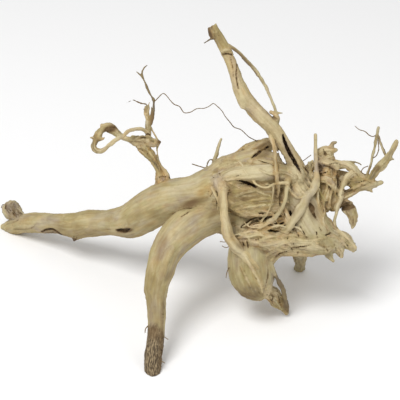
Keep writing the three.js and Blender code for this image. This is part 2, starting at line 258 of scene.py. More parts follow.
# The trunk
# The thick middle of the root, which lay level under the ground, with its long arm to the back left, the
# leg that bends down in front, the round lump under it, and the broken crest on top. Arm and leg are
# smooth.
add_roots(6.0, 0.03, rough=0.25, roots={
    "long arm": ("pale", [
        [35, 10, 4, 24], [15, 10, 3, 24], [-5, 5, 0, 19.5], [-30, -1, -20, 21], [-50, -9.5, -38, 20.5],
        [-70, -20, -56, 17], [-90, -21.5, -74, 12.8], [-110, -22.7, -92, 13.7], [-124, -25, -105, 13.3],
        [-140, -23.7, -120, 10.8], [-160, -23, -139, 10.2], [-175, -23.3, -154, 9.8],
        [-187, -26.3, -169, 7.9], [-196, -26.8, -175, 3.6]]),
    "front leg": ("pale", [
        [35, -8, 0, 20], [15, -16, 4, 18], [0, -21, 8, 18.5], [-10, -26, 12, 19.5], [-24, -38, 18, 18.5],
        [-34, -52, 24, 16], [-40, -70, 29, 14.2], [-44, -86, 33, 12.4], [-44, -101, 36, 10],
        [-43.3, -120, 38.5, 8.8], [-44.5, -140, 40.5, 9], [-47, -160, 42, 9.2], [-47, -172, 43, 8.6],
        [-47, -178, 44, 8]]),
})
add_roots(4.0, 0.10, rough=0.75, roots={
    "heart": ("sandy", [
        [5, 8, 2, 22], [25, 10, 3, 30], [48, 10, 3, 34], [70, 10, 2, 34], [92, 6, 0, 28],
        [110, 0, -3, 20]]),
    "lower heart": ("sandy", [
        [26, -22, -8, 15], [50, -25, -8, 18], [76, -27, -7, 18], [98, -26, -4, 17], [112, -28, 0, 12]]),
    "broken crest": ("sandy", [
        [25, 28, -5, 16], [40, 36.5, -9, 13], [54, 47, -11, 11], [65, 54, -12, 8.5], [72, 57.5, -12, 4.5]]),
})
add_roots(4.0, 0.0, rough=0.3, roots={
    "bulb": ("green", [
        [50, -20, 2, 20], [49, -42, 2, 20.5], [49.5, -60, 0, 22.5], [51.5, -73, -2, 22.5],
        [55, -83, -4, 17.5], [60, -90, -6, 9.5], [62, -93, -7, 4]]),
    "right flank": ("green", [
        [92, 2, 5, 24], [104, -16, 8, 22], [114, -32, 7, 19], [128, -40, 4, 14], [138, -42, 2, 9]]),
})
add_roots(1.6, 0.14, roots={
    "arm gnarl": ("grey", [
        [-180, -19, -155, 6], [-186, -12, -163, 8.8], [-188, -6.5, -165, 7.6], [-186, -2.8, -165, 3.2]]),
    "gnarl knuckle": ("grey", [[-190, -14, -162, 6], [-194, -8, -162, 4.6], [-193, -4, -163, 2.6]]),
    "gnarl ledge": ("grey", [[-183, -14, -158, 4.6], [-181.5, -9, -160, 3.6], [-183, -4.5, -163, 2.8]]),
    "arm knob": ("sandy", [[-122, -30, -104, 7], [-124.5, -37, -104, 4.2], [-126, -40.5, -104, 1.2]]),
    "bulb curl": ("ochre", [
        [58, -86, -8, 9], [64, -91, -14, 7.8], [71, -93, -20, 7.4], [77, -100, -26, 6.8],
        [82.5, -107, -30, 4.6], [86.5, -113, -32, 2.6]]),
    "curl head": ("ochre", [
        [63, -90, -10, 4.2], [69, -90, -14, 4.6], [75, -92, -18, 4.4], [79, -96, -22, 3.2]]),
    "curl fold": ("sandy", [[72, -98, -22, 4.2], [75, -103, -26, 4.2], [80, -107, -29, 3]]),
    "curl twist": ("brown", [
        [78, -97, -22, 3.4], [83, -101, -26, 3.6], [86.5, -106, -30, 3.2], [87.5, -111, -32, 1.8]]),
    "back stub": ("grey", [
        [96, -35, -30, 12], [98, -48, -62, 9], [100, -58, -86, 6.6], [100, -64, -98, 6],
        [98.5, -69, -108, 6], [98, -73, -113, 5.6]]),
    "right block": ("ochre", [
        [122, -2, 0, 14], [126, 14, 1, 12], [127, 27, 1, 11], [126.5, 39, 2, 10], [127, 46, 3, 7]]),
    "block brow": ("ochre", [[118, 47, 6, 4], [124, 50, 7, 4.2], [130, 49.5, 7, 4], [135.8, 50.3, 6, 2.6]]),
    "block belt": ("sandy", [
        [115, 33, 7, 3.4], [121, 37, 13, 3.6], [128, 38, 14, 3.6], [136, 34, 10, 3.6]]),
    "block foot": ("ochre", [
        [118, 20, 10, 3.4], [124, 21, 14, 3.6], [131, 17, 13, 3.6], [137, 10, 8, 3.2]]),
})

# The ribs of the trunk
# Roots as thick as a finger that have grown onto the trunk: on its brow and belly, along the flat shelf at
# the lower right, and a few low ones with broken ends at the back.
add_roots(2.2, 0.16, rough=0.75, roots={
    "belly rib": ("sandy", [[28, 0, 26, 10], [45, -8, 28, 9], [62, -10, 29, 9], [80, -8, 27, 10]]),
    "splinter shelf": ("straw", [
        [36, -40, 10, 9], [50, -38, 18, 11], [70, -42, 18, 11], [90, -46, 14, 11], [110, -48, 10, 11]]),
    "shelf root": ("pale", [
        [66, -53, 10, 7], [80, -47, 18, 6.5], [96, -44, 24, 6.5], [112, -46, 22, 7.5], [124, -48, 15, 7.5],
        [134, -44, 9, 6]]),
    "shelf keel": ("sandy", [
        [71, -60, 8, 5], [79, -53, 9, 5], [92, -49.5, 10, 6.5], [106, -48.5, 8, 8], [118, -48.5, 6, 8],
        [126, -48, 5, 7]]),
    "shelf fill": ("sandy", [[78, -36, 20, 5], [90, -35, 22, 5], [102, -36, 20, 5]]),
    "horn foot": ("ochre", [[103, 33, 0, 3], [108, 27, 4, 3], [112, 20, 8, 3]]),
    "horn spur": ("sandy", [[109, 37, -4, 1.8], [111, 31, 2, 2], [113, 24, 8, 2.4]]),
    "back rib": ("sandy", [
        [10, 20, -20, 12], [35, 14, -32, 11], [60, 6, -34, 11], [85, -4, -32, 11], [98, -22, -34, 12]]),
    "bulb rib": ("green", [[40, -10, -26, 12], [46, -34, -26, 9], [50, -56, -20, 8], [52, -72, -14, 8]]),
    "back spur": ("pale", [[60, 30, -22, 9], [66, 30, -46, 7], [70, 26, -64, 5]]),
    "back loop": ("straw", [
        [20, 0, -24, 5], [14, -10, -38, 3.6], [24, -20, -46, 3.2], [40, -24, -40, 3.4], [48, -30, -30, 5]]),
    "back twig": ("ochre", [[110, -5, -12, 9], [118, 5, -26, 6], [126, 14, -34, 4.4], [128, 22, -40, 2.6]]),
    "side horn": ("green", [
        [106, 18, -8, 9], [108, 28, -10, 6.5], [110.5, 35, -11, 3.6], [112.5, 39, -11, 1.6]]),
})
add_roots(4.0, 0.08, rough=0.35, roots={
    "flank rib": ("green", [[100, 6, 21, 7], [106, -12, 23, 7], [112, -30, 19, 7], [124, -40, 12, 6]]),
    "upper rib": ("pale", [
        [20, 16, 24, 9], [35, 22, 28, 10], [55, 24, 30, 9], [75, 26, 28, 10], [95, 24, 18, 10]]),
    "top rib": ("pale", [
        [8, 22, 10, 9], [24, 34, 14, 9], [44, 40, 14, 9], [66, 42, 10, 8], [86, 36, 8, 9]]),
})

# The tall prong
# A root that once ran straight down, now the highest point: it is slotted at its base, and a thin root bows
# out beside it.
add_roots(2.5, 0.10, rough=0.25, roots={
    "prong": ("sandy", [
        [14.2, 169.8, 45, 5.4], [19, 162, 43, 6.3], [25.5, 150, 40, 6.3], [31, 138, 38, 5.8],
        [36, 125, 35, 6.3], [40.5, 112, 32, 7.4], [45.8, 101, 29, 8.8], [54, 91.8, 26, 7.9],
        [61.5, 83.5, 23, 8.2], [69.5, 74.5, 20, 8.6], [76, 66, 18, 8.6], [82.5, 56, 15, 8.8],
        [89.5, 43, 11, 9.4], [96, 30, 7, 11], [100, 14, 4, 14]]),
    "prong elbow": ("straw", [
        [41, 113, 31, 5.4], [42.6, 104, 30, 6.3], [43.8, 97, 30, 5.8], [43, 93.8, 30, 3.8]]),
})
add_roots(1.0, 0.12, rough=0.5, roots={
    "prong tip": ("ochre", [[14, 166, 45, 4.6], [11, 170, 45, 3.4], [9.2, 171.4, 44, 1.8]]),
    "tip splinter": ("sandy", [[15, 168, 46, 3.8], [15.4, 173, 46, 2.6], [15.8, 175.6, 46, 1.2]]),
    "tip fibre": ("ochre", [[12.5, 168, 47, 2.8], [12.2, 172.6, 47, 1.9], [12.6, 174.4, 47, 0.9]]),
    "prong collar": ("straw", [[22.5, 148.4, 44, 1.6], [26, 150, 46, 1.8], [29.5, 150, 44, 1.6]]),
    "prong bow": ("green", [
        [29, 155, 41, 1.5], [38, 149, 41, 1.5], [46, 141, 40, 1.7], [54, 132, 38, 1.8], [62, 120, 35, 1.9],
        [68, 108, 32, 1.9], [73, 97, 29, 1.8], [75.7, 88, 25, 2.2], [76, 79, 20, 4.5]]),
    "bow edge": ("brown", [
        [32, 152, 41.5, 1.2], [39, 146.5, 41.5, 1.3], [46, 138.5, 40.5, 1.4], [53.5, 130.5, 38.5, 1.2],
        [58, 124, 37, 0.9]]),
    "bow foot": ("ochre", [[71, 88, 26, 2], [75, 85.5, 26, 2.4], [78, 82, 24, 2]]),
    "bow spur": ("grey", [[75.5, 87, 25, 1.6], [79, 87.3, 25, 1.3], [82, 87, 25, 0.9]]),
    "prong twig": ("brown", [[15, 163, 44, 1.6], [9, 160, 44, 1], [4, 157, 44, 0.8]]),
    "hanging root": ("ochre", [
        [71, 63, 22, 3.2], [74.4, 52, 27, 2.3], [75.4, 40, 34, 2.2], [76.4, 28, 38.5, 2.2],
        [77.4, 18, 38.5, 2.2], [78, 9, 34, 2.3], [80, 0, 30, 2.4], [83, -12, 28, 2.5], [88, -25, 26, 2.8]]),
})

# The front roots
# Thin roots that cross the front of the trunk, laid bare by washing: a pale strap down to the round lump, a
# root that leans across the right side, and tendrils between them. Behind them lies torn wood, in the big
# hollow under the brow.
add_roots(1.0, 0.16, rough=0.3, over=True, roots={
    "strap": ("straw", [
        [20, 17, 28, 8], [22.5, 8, 34, 5.4], [23.5, -4, 36, 5.2], [24.5, -16, 35, 5.2],
        [26.5, -30, 31, 5.4], [31, -41, 26, 5.8], [39, -51, 20.5, 5.4], [48, -62, 21.5, 3.2],
        [57, -76, 19.2, 2.1], [62.5, -88, 10.8, 1.7], [64.5, -94.5, 5.2, 1.3]]),
    "strap branch": ("straw", [
        [44, -53, 20, 3.5], [54, -63, 21, 2.2], [61, -73, 17.5, 1.6], [65, -83, 11, 1.4],
        [66, -90, 4, 1.8]]),
    "strap sliver": ("sandy", [
        [12, 12, 30, 2.4], [16, 4, 33, 1.8], [18.5, -3, 33, 1.5], [18, -9, 30, 1.3]]),
    "grey bow": ("grey", [[66, -52, 8, 5], [71, -66, 9, 3.6], [74.5, -74, 6, 2.6]]),
    "dark bow": ("brown", [
        [72, -68, 8, 2.6], [76, -77, 4, 2.4], [80.5, -85, -4, 2.4], [83.5, -93, -13, 2.5],
        [85, -101, -22, 2.6], [84, -106, -28, 2.8]]),
    "leaning root": ("pale", [
        [115.5, 65, 14, 2], [115.5, 50, 14, 2.3], [116, 35, 15, 2.5], [117, 22, 18, 3.2], [114, 13, 23, 4],
        [108, 3, 28, 4.3], [101, -9, 31, 4.7], [95, -19, 31, 4.7], [89, -27, 28, 4.4], [83, -33, 20, 5]]),
    "loop root": ("straw", [
        [51, 22, 34, 2], [56, 16, 37, 1.4], [62, 12.8, 38, 1.3], [68, 12.7, 38.5, 1.3],
        [73, 15.5, 39.5, 1.4], [80, 17, 40, 1.6], [87, 17, 35, 2.4]]),
    "thin tendril": ("sandy", [
        [73.5, 16, 39.5, 1.4], [73, 5, 38.5, 1.2], [70.5, -6, 38.5, 1.2], [67, -14, 36, 1.2],
        [62, -20, 30, 1.4], [58, -26, 22, 2]]),
    "tendril": ("pale", [
        [87, 22, 28, 4], [86.5, 8, 35, 2.3], [84, -4, 36, 2], [79, -13, 35, 2], [73, -19, 32, 2.1],
        [65, -23, 26, 2.6], [60, -30, 20, 3]]),
    "fork root": ("ochre", [[82, -3, 31, 2.2], [86, -12, 31, 2], [90, -20, 29, 2], [92, -26, 26, 2.4]]),
})
add_roots(1.0, 0.0, rough=0.8, roots={
    "torn bed": ("ochre", [
        [46, -25, 23, 2.6], [56, -26, 24, 3], [66, -26, 24, 3.2], [76, -26.5, 23, 3.2],
        [86, -26, 22, 2.8]]),
    "torn brow": ("ochre", [[68, -20, 24, 2.2], [77, -20, 26, 3], [85, -19, 25, 2.6]]),
    "torn splinter": ("straw", [
        [66, -29, 25, 1.4], [76, -26.5, 27.5, 1.8], [86, -28.5, 26, 1.5], [92, -31, 24, 1]]),
})

# The left curl
# A stalk on the arm that ends in a knuckle: one root leaves it and loops back, and twigs stand up from it.
add_roots(1.2, 0.16, roots={
    "stalk": ("ochre", [
        [-37, 13, -20, 9], [-39.5, 24, -18, 5.6], [-42, 32, -16, 4], [-46.5, 40, -14, 4.6],
        [-52.5, 47, -12, 6], [-58, 53, -10, 7.2], [-60, 58, -9, 7]]),
    "curl": ("sandy", [
        [-46, 58, -11, 3.5], [-53, 59.5, -10, 5.5], [-61, 58, -9, 6.8], [-69, 59.5, -8, 4.4],
        [-76, 62.5, -7, 3.5], [-82, 66, -6, 4], [-88, 71, -4, 4.6], [-94, 72, -2, 4.6],
        [-99.5, 68.5, 0, 4.4], [-102.5, 62.8, 1, 4.5], [-105, 58, 2, 3.3], [-106, 53.5, 3, 3],
        [-103.5, 49.8, 4, 2.7], [-99, 49.2, 5, 2.3], [-95, 51.5, 6, 2.3], [-90, 56, 7, 2.3],
        [-83, 61, 8, 2.4], [-77, 64.5, 8, 2.4], [-72, 69, 6, 2], [-66, 70.6, 3, 2], [-59, 70.8, 0, 2.2],
        [-54, 68.5, -4, 2.6], [-51, 64, -7, 3]]),
    "curl spike": ("ochre", [[-103, 62, 2, 2.8], [-107, 62.2, 2, 1.8], [-110, 62.6, 2, 0.7]]),
    "curl thorn": ("ochre", [[-101, 61.5, 2, 2.4], [-97.5, 61, 3, 1.5], [-95.6, 62.2, 3, 0.7]]),
    "curl knot": ("sandy", [[-98, 74.5, -1, 2.4], [-92, 75.5, -2, 2.6], [-86, 73.5, -4, 2.2]]),
    "curl rind": ("sandy", [[-80, 64, -4, 2.8], [-84, 69, -3, 2.4], [-86.5, 73, -3, 1.6]]),
    "upright": ("sandy", [
        [-52, 60, -8, 4.5], [-51.7, 68, -8, 3.4], [-51.5, 75, -8, 2.9], [-52, 82, -8, 2.6],
        [-53, 88, -7, 2], [-55, 93, -7, 1.2]]),
    "torn tine": ("ochre", [[-50, 76, -7, 2], [-48.6, 82, -7, 2.2], [-48.2, 88, -7, 1.6]]),
    "torn point": ("brown", [[-52.5, 86, -7, 1.8], [-54.5, 90, -7, 1.2], [-56.5, 91, -7, 0.6]]),
    "torn edge": ("brown", [
        [-49, 76, -5.5, 1.5], [-47.2, 82, -5.5, 1.8], [-47.8, 88, -6, 1.2], [-48.6, 93, -6.5, 0.6]]),
    "torn sliver": ("ochre", [[-52.5, 80, -6, 1.4], [-55.5, 86.5, -6, 1.0], [-56.2, 89.5, -6, 0.5]]),
    "knuckle rind": ("brown", [
        [-66, 60, -4.5, 1.2], [-59, 63.5, -3.5, 1.3], [-52, 63, -4, 1.4], [-47, 59, -5, 1.0]]),
    "torn spike": ("sandy", [
        [-53, 86, -7, 1.6], [-51.2, 92, -7, 1.1], [-51, 96.5, -7, 0.8], [-49.5, 98.6, -7, 0.5]]),
    "antler": ("brown", [
        [-50.5, 78, -8, 2.4], [-47, 86, -8, 1.7], [-46, 95, -8, 1.4], [-46.5, 100, -8, 1.6],
        [-49.5, 105, -8, 1.2], [-52.5, 111, -8, 1.6], [-54.5, 117, -8, 1.2], [-57.5, 123, -7, 1.3],
        [-58, 128, -7, 1], [-56, 132, -7, 0.9], [-53, 134.5, -7, 0.7]]),
    "antler fork": ("brown", [[-57.8, 123.5, -7, 1], [-61, 126, -7, 0.9], [-63.5, 128, -7, 0.7]]),
    "side twig": ("brown", [
        [-52.5, 89, -7, 1.2], [-54, 95.5, -7, 0.9], [-58, 96.5, -7, 1.0], [-63, 98.5, -7, 0.9],
        [-67, 99.8, -7, 0.7], [-73, 97.2, -7, 0.5]]),
    "stay": ("sandy", [
        [-50.5, 74, -9, 1.4], [-46, 67, -10, 1.1], [-43, 61, -11, 1.5], [-41.5, 57, -12, 2.4],
        [-43, 51, -13, 1.1], [-42, 43, -14, 1], [-39, 35, -15, 1.3], [-35, 28, -17, 2.4]]),
    "stalk knuckle": ("ochre", [[-34, 18, -18, 5], [-34.5, 25, -18, 4.2], [-38, 31, -17, 2.4]]),
    "stay knuckle": ("ochre", [[-52, 57, -9, 5], [-44, 56, -11, 3.4], [-40, 58, -12, 1.8]]),
})

# The right tangle
# Where many thin roots leave the trunk: an arch, a fan of fused ribs with stout twigs, columns round a
# small window, a beak and the short prongs at the end of the shelf.
add_roots(1.1, 0.18, roots={
    "block stub": ("grey", [[127, 45, 4, 6], [130.5, 52, 5, 3.6], [133, 57, 6, 2.6], [135.5, 57.6, 6, 2]]),
    "arch": ("sandy", [
        [129, 34, 3, 8], [139, 36, 5, 4.8], [147, 36, 6, 4.2], [153, 31, 6, 4], [158, 26, 6, 3.6],
        [165, 20.5, 6, 4], [172, 16, 6, 5.2]]),
    "under arch": ("ochre", [[129, 31, -3, 6], [140, 26.5, -5, 3], [149, 25.5, -2, 3], [158, 21, 3, 3.5]]),
    "pale root": ("pale", [
        [152, 27, 8, 4.2], [147, 23, 11, 4], [143, 16, 12, 3.6], [141, 8, 11, 3.4], [140, 0, 10, 3.2],
        [137, -7, 9, 3.8], [136.3, -13, 8, 2.4], [134.5, -21, 5, 1.8], [134.5, -27, 4, 3.2],
        [137, -34, 3, 5]]),
    "fan foot": ("sandy", [
        [134, -2, 2, 6], [143, 3, 3, 4.6], [151, 7.5, 4, 4], [160, 12.5, 6, 4.6], [168, 14, 6, 5.6],
        [174, 15.5, 6, 4.4]]),
    "fan rib": ("ochre", [[150, 25, 6, 3.6], [160, 21, 8, 3.4], [170, 17, 7, 4]]),
    "fan web": ("green", [[142, 21, 4, 4], [150, 18.5, 6.5, 5], [158, 16, 6.5, 5], [166, 15, 6, 4]]),
    "tangle core": ("ochre", [[122, 22, 0, 8], [131, 14, 1, 8], [136, 4, 1, 7.6], [134, -6, 0, 7]]),
    "fan lip": ("ochre", [
        [140, 4, 6, 2.4], [148, 9, 9, 2], [157, 14, 11, 1.8], [166, 18, 11, 2], [173, 19, 9, 2.4]]),
    "fan knob": ("green", [[172, 16, 6, 4.6], [177, 16, 6, 3], [181.5, 17.3, 6, 2.6]]),
    "fan tooth": ("ochre", [[166, 14, 6, 4], [170, 10, 7, 2.6], [172, 8, 7, 1.4]]),
    "upright twig": ("grey", [
        [165, 20, 6, 2.4], [169, 30, 6, 1.5], [171, 37, 6, 1.5], [173, 46, 6, 1.6], [175, 55, 6, 1.8],
        [177, 65, 7, 2], [178.6, 72.5, 7, 1.8]]),
    "stout twig": ("sandy", [
        [168, 17, 6, 5], [173, 25, 8, 4.4], [179, 32, 9, 4.5], [185, 38.5, 10, 4.5], [190.5, 46, 10, 4],
        [194, 53, 10, 3.4], [196.5, 58.5, 10, 2.6]]),
    "twig rind": ("brown", [[171, 21, 10, 2.2], [176, 30.5, 12, 2.2], [181, 34.5, 12, 1.6]]),
    "twig ridge": ("green", [[182, 39, 12, 2], [188, 46, 12.5, 1.8], [193, 54, 12, 1.3]]),
    "stout knob": ("grey", [[187, 41, 10, 3], [193.5, 40.5, 10, 1.3]]),
    "beak": ("sandy", [
        [130, -2, 0, 8], [138, -2, 0, 7], [145, -4, 1, 7], [150, -10, 2, 7], [152.3, -18, 2, 5.7],
        [152.8, -24.5, 2, 3.4], [152.2, -28, 2, 1.6]]),
    "column": ("ochre", [
        [122, 2, 5, 7], [121, -10, 8, 4.6], [122.5, -18, 9, 5], [127, -26, 8, 6.4], [132, -33, 5, 7]]),
    "second column": ("ochre", [
        [117, 8, 18, 3], [118, -4, 20, 2.4], [119, -14, 20, 2.6], [123, -24, 17, 3.2], [130, -32, 12, 4]]),
    "grey prong": ("grey", [[124, -42, 6, 6], [128, -52, 8, 4.2], [131, -58, 8, 3], [133.3, -61, 8, 2.3]]),
    "middle prong": ("green", [
        [133, -36, 5, 8], [137, -45, 6, 6], [140, -52, 6, 4.8], [141.3, -56, 6, 2.6]]),
    "outer prong": ("green", [
        [134, -34, 3, 8], [142, -38.5, 3, 7.2], [149, -44.5, 3, 6], [153.5, -48.5, 3, 4.2]]),
    "outer ridge": ("straw", [
        [136, -30, 9, 2.4], [143, -34, 9, 2], [150, -41, 8, 1.8], [155.5, -47.5, 5, 1.6]]),
})
add_roots(0.8, 0.0, roots={
    "arch twig": ("brown", [[149, 37, 6, 1.8], [155, 38, 6, 1], [159, 36.5, 6, 0.8], [161.5, 35, 6, 0.6]]),
    "cross twig": ("brown", [[178, 64, 7, 1.4], [182, 53, 8, 1.2], [186, 44, 9, 1.6]]),
    "tangle fill": ("ochre", [
        [132, 28, -3, 3.4], [138, 22, -2, 3.3], [140, 15, -1, 3.3], [142, 8, 0, 3.3]]),
})

# The crest twigs
# Two short twigs that stand on the trunk's shoulder, one of them a dark hook.
add_roots(0.9, 0.0, roots={
    "crest twig": ("green", [
        [16, 26, -2, 4], [14.7, 40, -4, 1.9], [16.7, 47, -4, 1.8], [19, 55, -4, 1.7], [21.5, 61, -4, 1.3]]),
    "dark hook": ("brown", [[16, 38.5, -4, 1], [10.5, 40.5, -1, 0.9], [8, 38, 1, 0.8], [6, 29, 3, 1]]),
})

# The creeping roots
# Roots as thin as string that crept over the trunk and set fast, torn fibres in the big hollow, and
# splinters on the shelf. They lie on the wood's face, so only their rise above it is given: across, up,
# rise and radius.
CREEP_STEP = 1.5
CREEP_LIGHT = 0.25
FACE_FALL = 20.0
STEEPEST_DROP = 6.0


def path_points(some):
    """Across, up, toward and radius of every path point of some roots."""
    rows = [np.column_stack([seen_from_front(limb["path"][0]), limb["path"][1]]) for limb in some]
    return np.concatenate(rows)


def face_of(spots, wood, side=1.0):
    """How far toward the eye the wood's face is at spots of the front view: the most, over the path points,
    of toward + √(radius² - distance²), or, past its rim, of toward less FACE_FALL times the distance from
    the rim. With side -1 it is the far face, found the same way from behind."""
    across, up, toward, radius = wood.T[:, None]
    gap = np.hypot(spots[:, None, 0] - across, spots[:, None, 1] - up)
    dome = np.sqrt(np.maximum(radius**2 - gap**2, 0)) - FACE_FALL * np.maximum(gap - radius, 0)
    return side * np.max(side * toward + dome, axis=1)


def lie_on_face(stations, wood, side=1.0):
    """Rows of across, up, toward and radius along a path that follows the wood's face, evened over five
    rows."""
    rows, _ = curve_through(np.array(stations, float), CREEP_STEP)
    face = face_of(rows, wood, side)
    evened = np.convolve(np.pad(face, 2, mode="edge"), np.full(5, 0.2), mode="valid")
    rows[:, 2] = evened + side * rows[:, 2]
    return rows


def add_creepers(fillet, creepers, side=1.0, over=False):
    """Adds roots that lie on the wood's face, given as shade and stations of across, up, rise and radius.
    One that would drop more than STEEPEST_DROP from row to row is left out, because it would hang in the
    air."""
    for shade, stations in creepers:
        rows = lie_on_face(stations, all_wood, side)
        drop = np.abs(np.diff(rows[:, 2])).max()
        rows[:, :3] = stand(rows[:, :3])
        own_shade = np.array(SHADES[shade]) + (0, 0, 0, chance.normal(0, CREEP_LIGHT))
        if drop < STEEPEST_DROP:
            add_limb(trace(rows, FINEST_STEP, len(limbs)), own_shade, fillet, over=over)


all_wood = path_points(limbs)
hollowed_wood = path_points([limb for limb in limbs if not limb["over"]])

add_creepers(0.7, creepers=[
    ("sandy", [[38, 39, 0, 0.9], [42, 35, 0.3, 0.9], [45, 29, 0.3, 0.9], [48, 25, 0, 0.8]]),
    ("pale", [[20, 36, 0, 0.8], [27, 40, 0.3, 1.0], [36, 39.5, 0.3, 0.9], [47, 38.5, 0, 0.8]]),
    ("straw", [[50, 38, 0, 0.8], [58, 40, 0.4, 1.0], [67, 37, 0.4, 1.0], [75, 35, 0, 0.8]]),
    ("straw", [
        [19, 25, 0, 1.3], [25, 20.5, 0.6, 1.5], [33, 21.5, 0.8, 1.5], [43, 22, 0.6, 1.3],
        [52, 22, 0, 1.1]]),
    ("straw", [[32, -6, 0, 1.2], [44, -2.5, 0.3, 1.4], [56, 0, 0.3, 1.3], [71, 2, 0, 1.0]]),
    ("straw", [[36, -9.5, 0, 1.1], [50, -6.5, 0.4, 1.3], [66, -4.5, 0, 1.0]]),
    ("grey", [[34, 3, 0, 1.1], [46, 7, 0.3, 1.3], [58, 10, 0, 1.1]]),
    ("grey", [[52, 12, 0, 0.9], [60, 7, 0.3, 1.2], [70, 4, 0, 1.0]]),
    ("pale", [[60, 30, 0, 1.0], [70, 26, 0.4, 1.3], [84, 27, 0.4, 1.4], [96, 22, 0, 1.2]]),
    ("sandy", [[88, 12, 0, 1.4], [92, 6, 0.5, 1.6], [99, 2, 0.4, 1.3], [104, 4, 0, 1.0]]),
    ("ochre", [[104, 25, 0, 1.2], [109, 18, 0.6, 1.3], [113, 12, 0, 1.0]]),
    ("sandy", [[92, -26, 0, 1.0], [99, -28, 0.5, 1.2], [106, -36, 0, 1.0]]),
    ("ochre", [[93, -31, 0, 0.8], [100, -34, 0.4, 1.0], [104, -38, 0, 0.8]]),
    ("straw", [
        [62, -46, 0, 1.2], [75, -43, 0.6, 1.5], [90, -39, 0.6, 1.5], [110, -41, 0.4, 1.3],
        [126, -38, 0, 1.1]]),
    ("sandy", [[70, -50, 0, 1.0], [84, -43.5, 0.5, 1.2], [100, -42, 0.3, 1.1], [118, -43.5, 0, 0.9]]),
    ("ochre", [[122, 0, 0, 1.2], [124, -12, 0.5, 1.4], [123, -22, 0.4, 1.3], [128, -30, 0, 1.1]]),
    ("ochre", [[118, 12, 0, 1.2], [122, 4, 0.6, 1.4], [128, -4, 0.4, 1.3], [134, -10, 0, 1.0]]),
    ("sandy", [[120, 28, 0, 1.1], [127, 24, 0.6, 1.3], [134, 22, 0, 1.1]]),
    ("ochre", [[132, 26, 0, 1.0], [136, 18, 0.5, 1.3], [135, 8, 0.5, 1.3], [138, 0, 0, 1.0]]),
    ("sandy", [[118, 44, 0, 1.0], [124, 41, 0.6, 1.2], [132, 44, 0, 1.0]]),
    ("ochre", [[126, -36, 0, 1.0], [134, -36, 0.5, 1.2], [141, -41, 0.3, 1.1], [147, -47, 0, 0.9]]),
    ("green", [[132, -30, 0, 1.0], [139, -33, 0.4, 1.1], [147, -40, 0, 0.9]]),
    ("sandy", [[40, -66, 0, 1.0], [45, -76, 0.4, 1.3], [50, -86, 0, 1.0]]),
    ("straw", [[46, -58, 0, 1.2], [54, -72, 0.5, 1.5], [60, -84, 0.3, 1.3], [62, -92, 0, 1.0]]),
    ("ochre", [[90, 30, 0, 0.9], [95, 20, 0.6, 1.2], [101, 10, 0.4, 1.1], [106, 4, 0, 0.8]]),
    ("straw", [[95, 32, 0, 0.8], [100, 22, 0.6, 1.1], [107, 13, 0, 0.9]]),
    ("ochre", [[99, 28, 0, 0.8], [104, 18, 0.6, 1.1], [111, 8, 0, 0.9]]),
    ("brown", [[92, 22, 0, 0.6], [96, 14, 0.4, 0.8], [100, 8, 0, 0.6]]),
    ("straw", [[87, 34, 0, 0.8], [91, 24, 0.5, 1.0], [95, 14, 0, 0.8]]),
    ("brown", [[103, 30, 0, 0.6], [107, 22, 0.4, 0.8], [110, 16, 0, 0.6]]),
    ("ochre", [[116, 46, 0, 0.9], [120, 41, 0.5, 1.2], [127, 36, 0.4, 1.2], [134, 38, 0, 0.9]]),
    ("ochre", [[118, 30, 0, 0.9], [124, 33, 0.5, 1.2], [131, 30, 0, 0.9]]),
    ("ochre", [[134, 22, 0, 0.9], [133, 12, 0.5, 1.2], [130, 2, 0.4, 1.1], [130, -8, 0, 0.8]]),
    ("straw", [[126, 22, 0, 0.8], [127, 12, 0.5, 1.1], [124, 4, 0, 0.8]]),
])
add_creepers(0.4, over=True, creepers=[
    ("straw", [
        [42, -27, 0, 0.7], [48, -24, 1.8, 0.8], [52, -20.5, 2.4, 0.8], [57, -19, 2.4, 0.8],
        [62, -21, 2.2, 0.8], [66, -19, 2, 0.7], [70, -15, 0.5, 0.7]]),
    ("ochre", [[48, -31, 0, 1.2], [54, -26, 1.6, 1.2], [61, -24.5, 1.8, 1.0], [68, -26, 0.5, 0.8]]),
    ("ochre", [[52, -30, 0, 1.0], [60, -28, 1.4, 1.2], [68, -24, 1.4, 0.9], [74, -22, 0, 0.7]]),
    ("ochre", [[50, -26, 0, 0.8], [57, -22.5, 1.6, 0.9], [64, -22.5, 1.2, 0.7]]),
    ("straw", [[47, -33, 0, 1.0], [56, -29, 1.2, 1.2], [63, -30, 0, 0.9]]),
    ("straw", [[36, -35, 0, 1.0], [45, -33, 0.8, 1.8], [54, -31, 1.2, 1.6], [61, -33, 0.8, 0.6]]),
    ("straw", [[38, -38, 0, 1.0], [50, -36, 0.8, 1.8], [59, -35, 1.0, 1.4], [65, -37, 0.6, 0.5]]),
    ("pale", [[30, -36, 0, 0.8], [38, -34.5, 0.8, 1.2], [47, -37, 0, 0.9]]),
    ("pale", [[72, -27, 0, 1.0], [80, -25.5, 1.4, 1.2], [87, -28, 0, 1.0]]),
    ("sandy", [[68, -34, 0, 1.2], [78, -31, 1.0, 1.6], [88, -33, 0, 1.2]]),
    ("straw", [[60, -40, 0, 1.1], [70, -37, 0.8, 1.5], [82, -37, 0, 1.0]]),
    ("ochre", [[74, -18, 0, 0.8], [78, -23, 1.2, 0.9], [82, -30, 0, 0.8]]),
    ("straw", [[70, -22, 0, 0.7], [77, -25.5, 1.4, 0.8], [86, -24, 0, 0.7]]),
    ("ochre", [[44, -22, 0, 0.7], [50, -27, 1.6, 0.9], [60, -27, 1.8, 0.8], [67, -22, 0, 0.7]]),
])
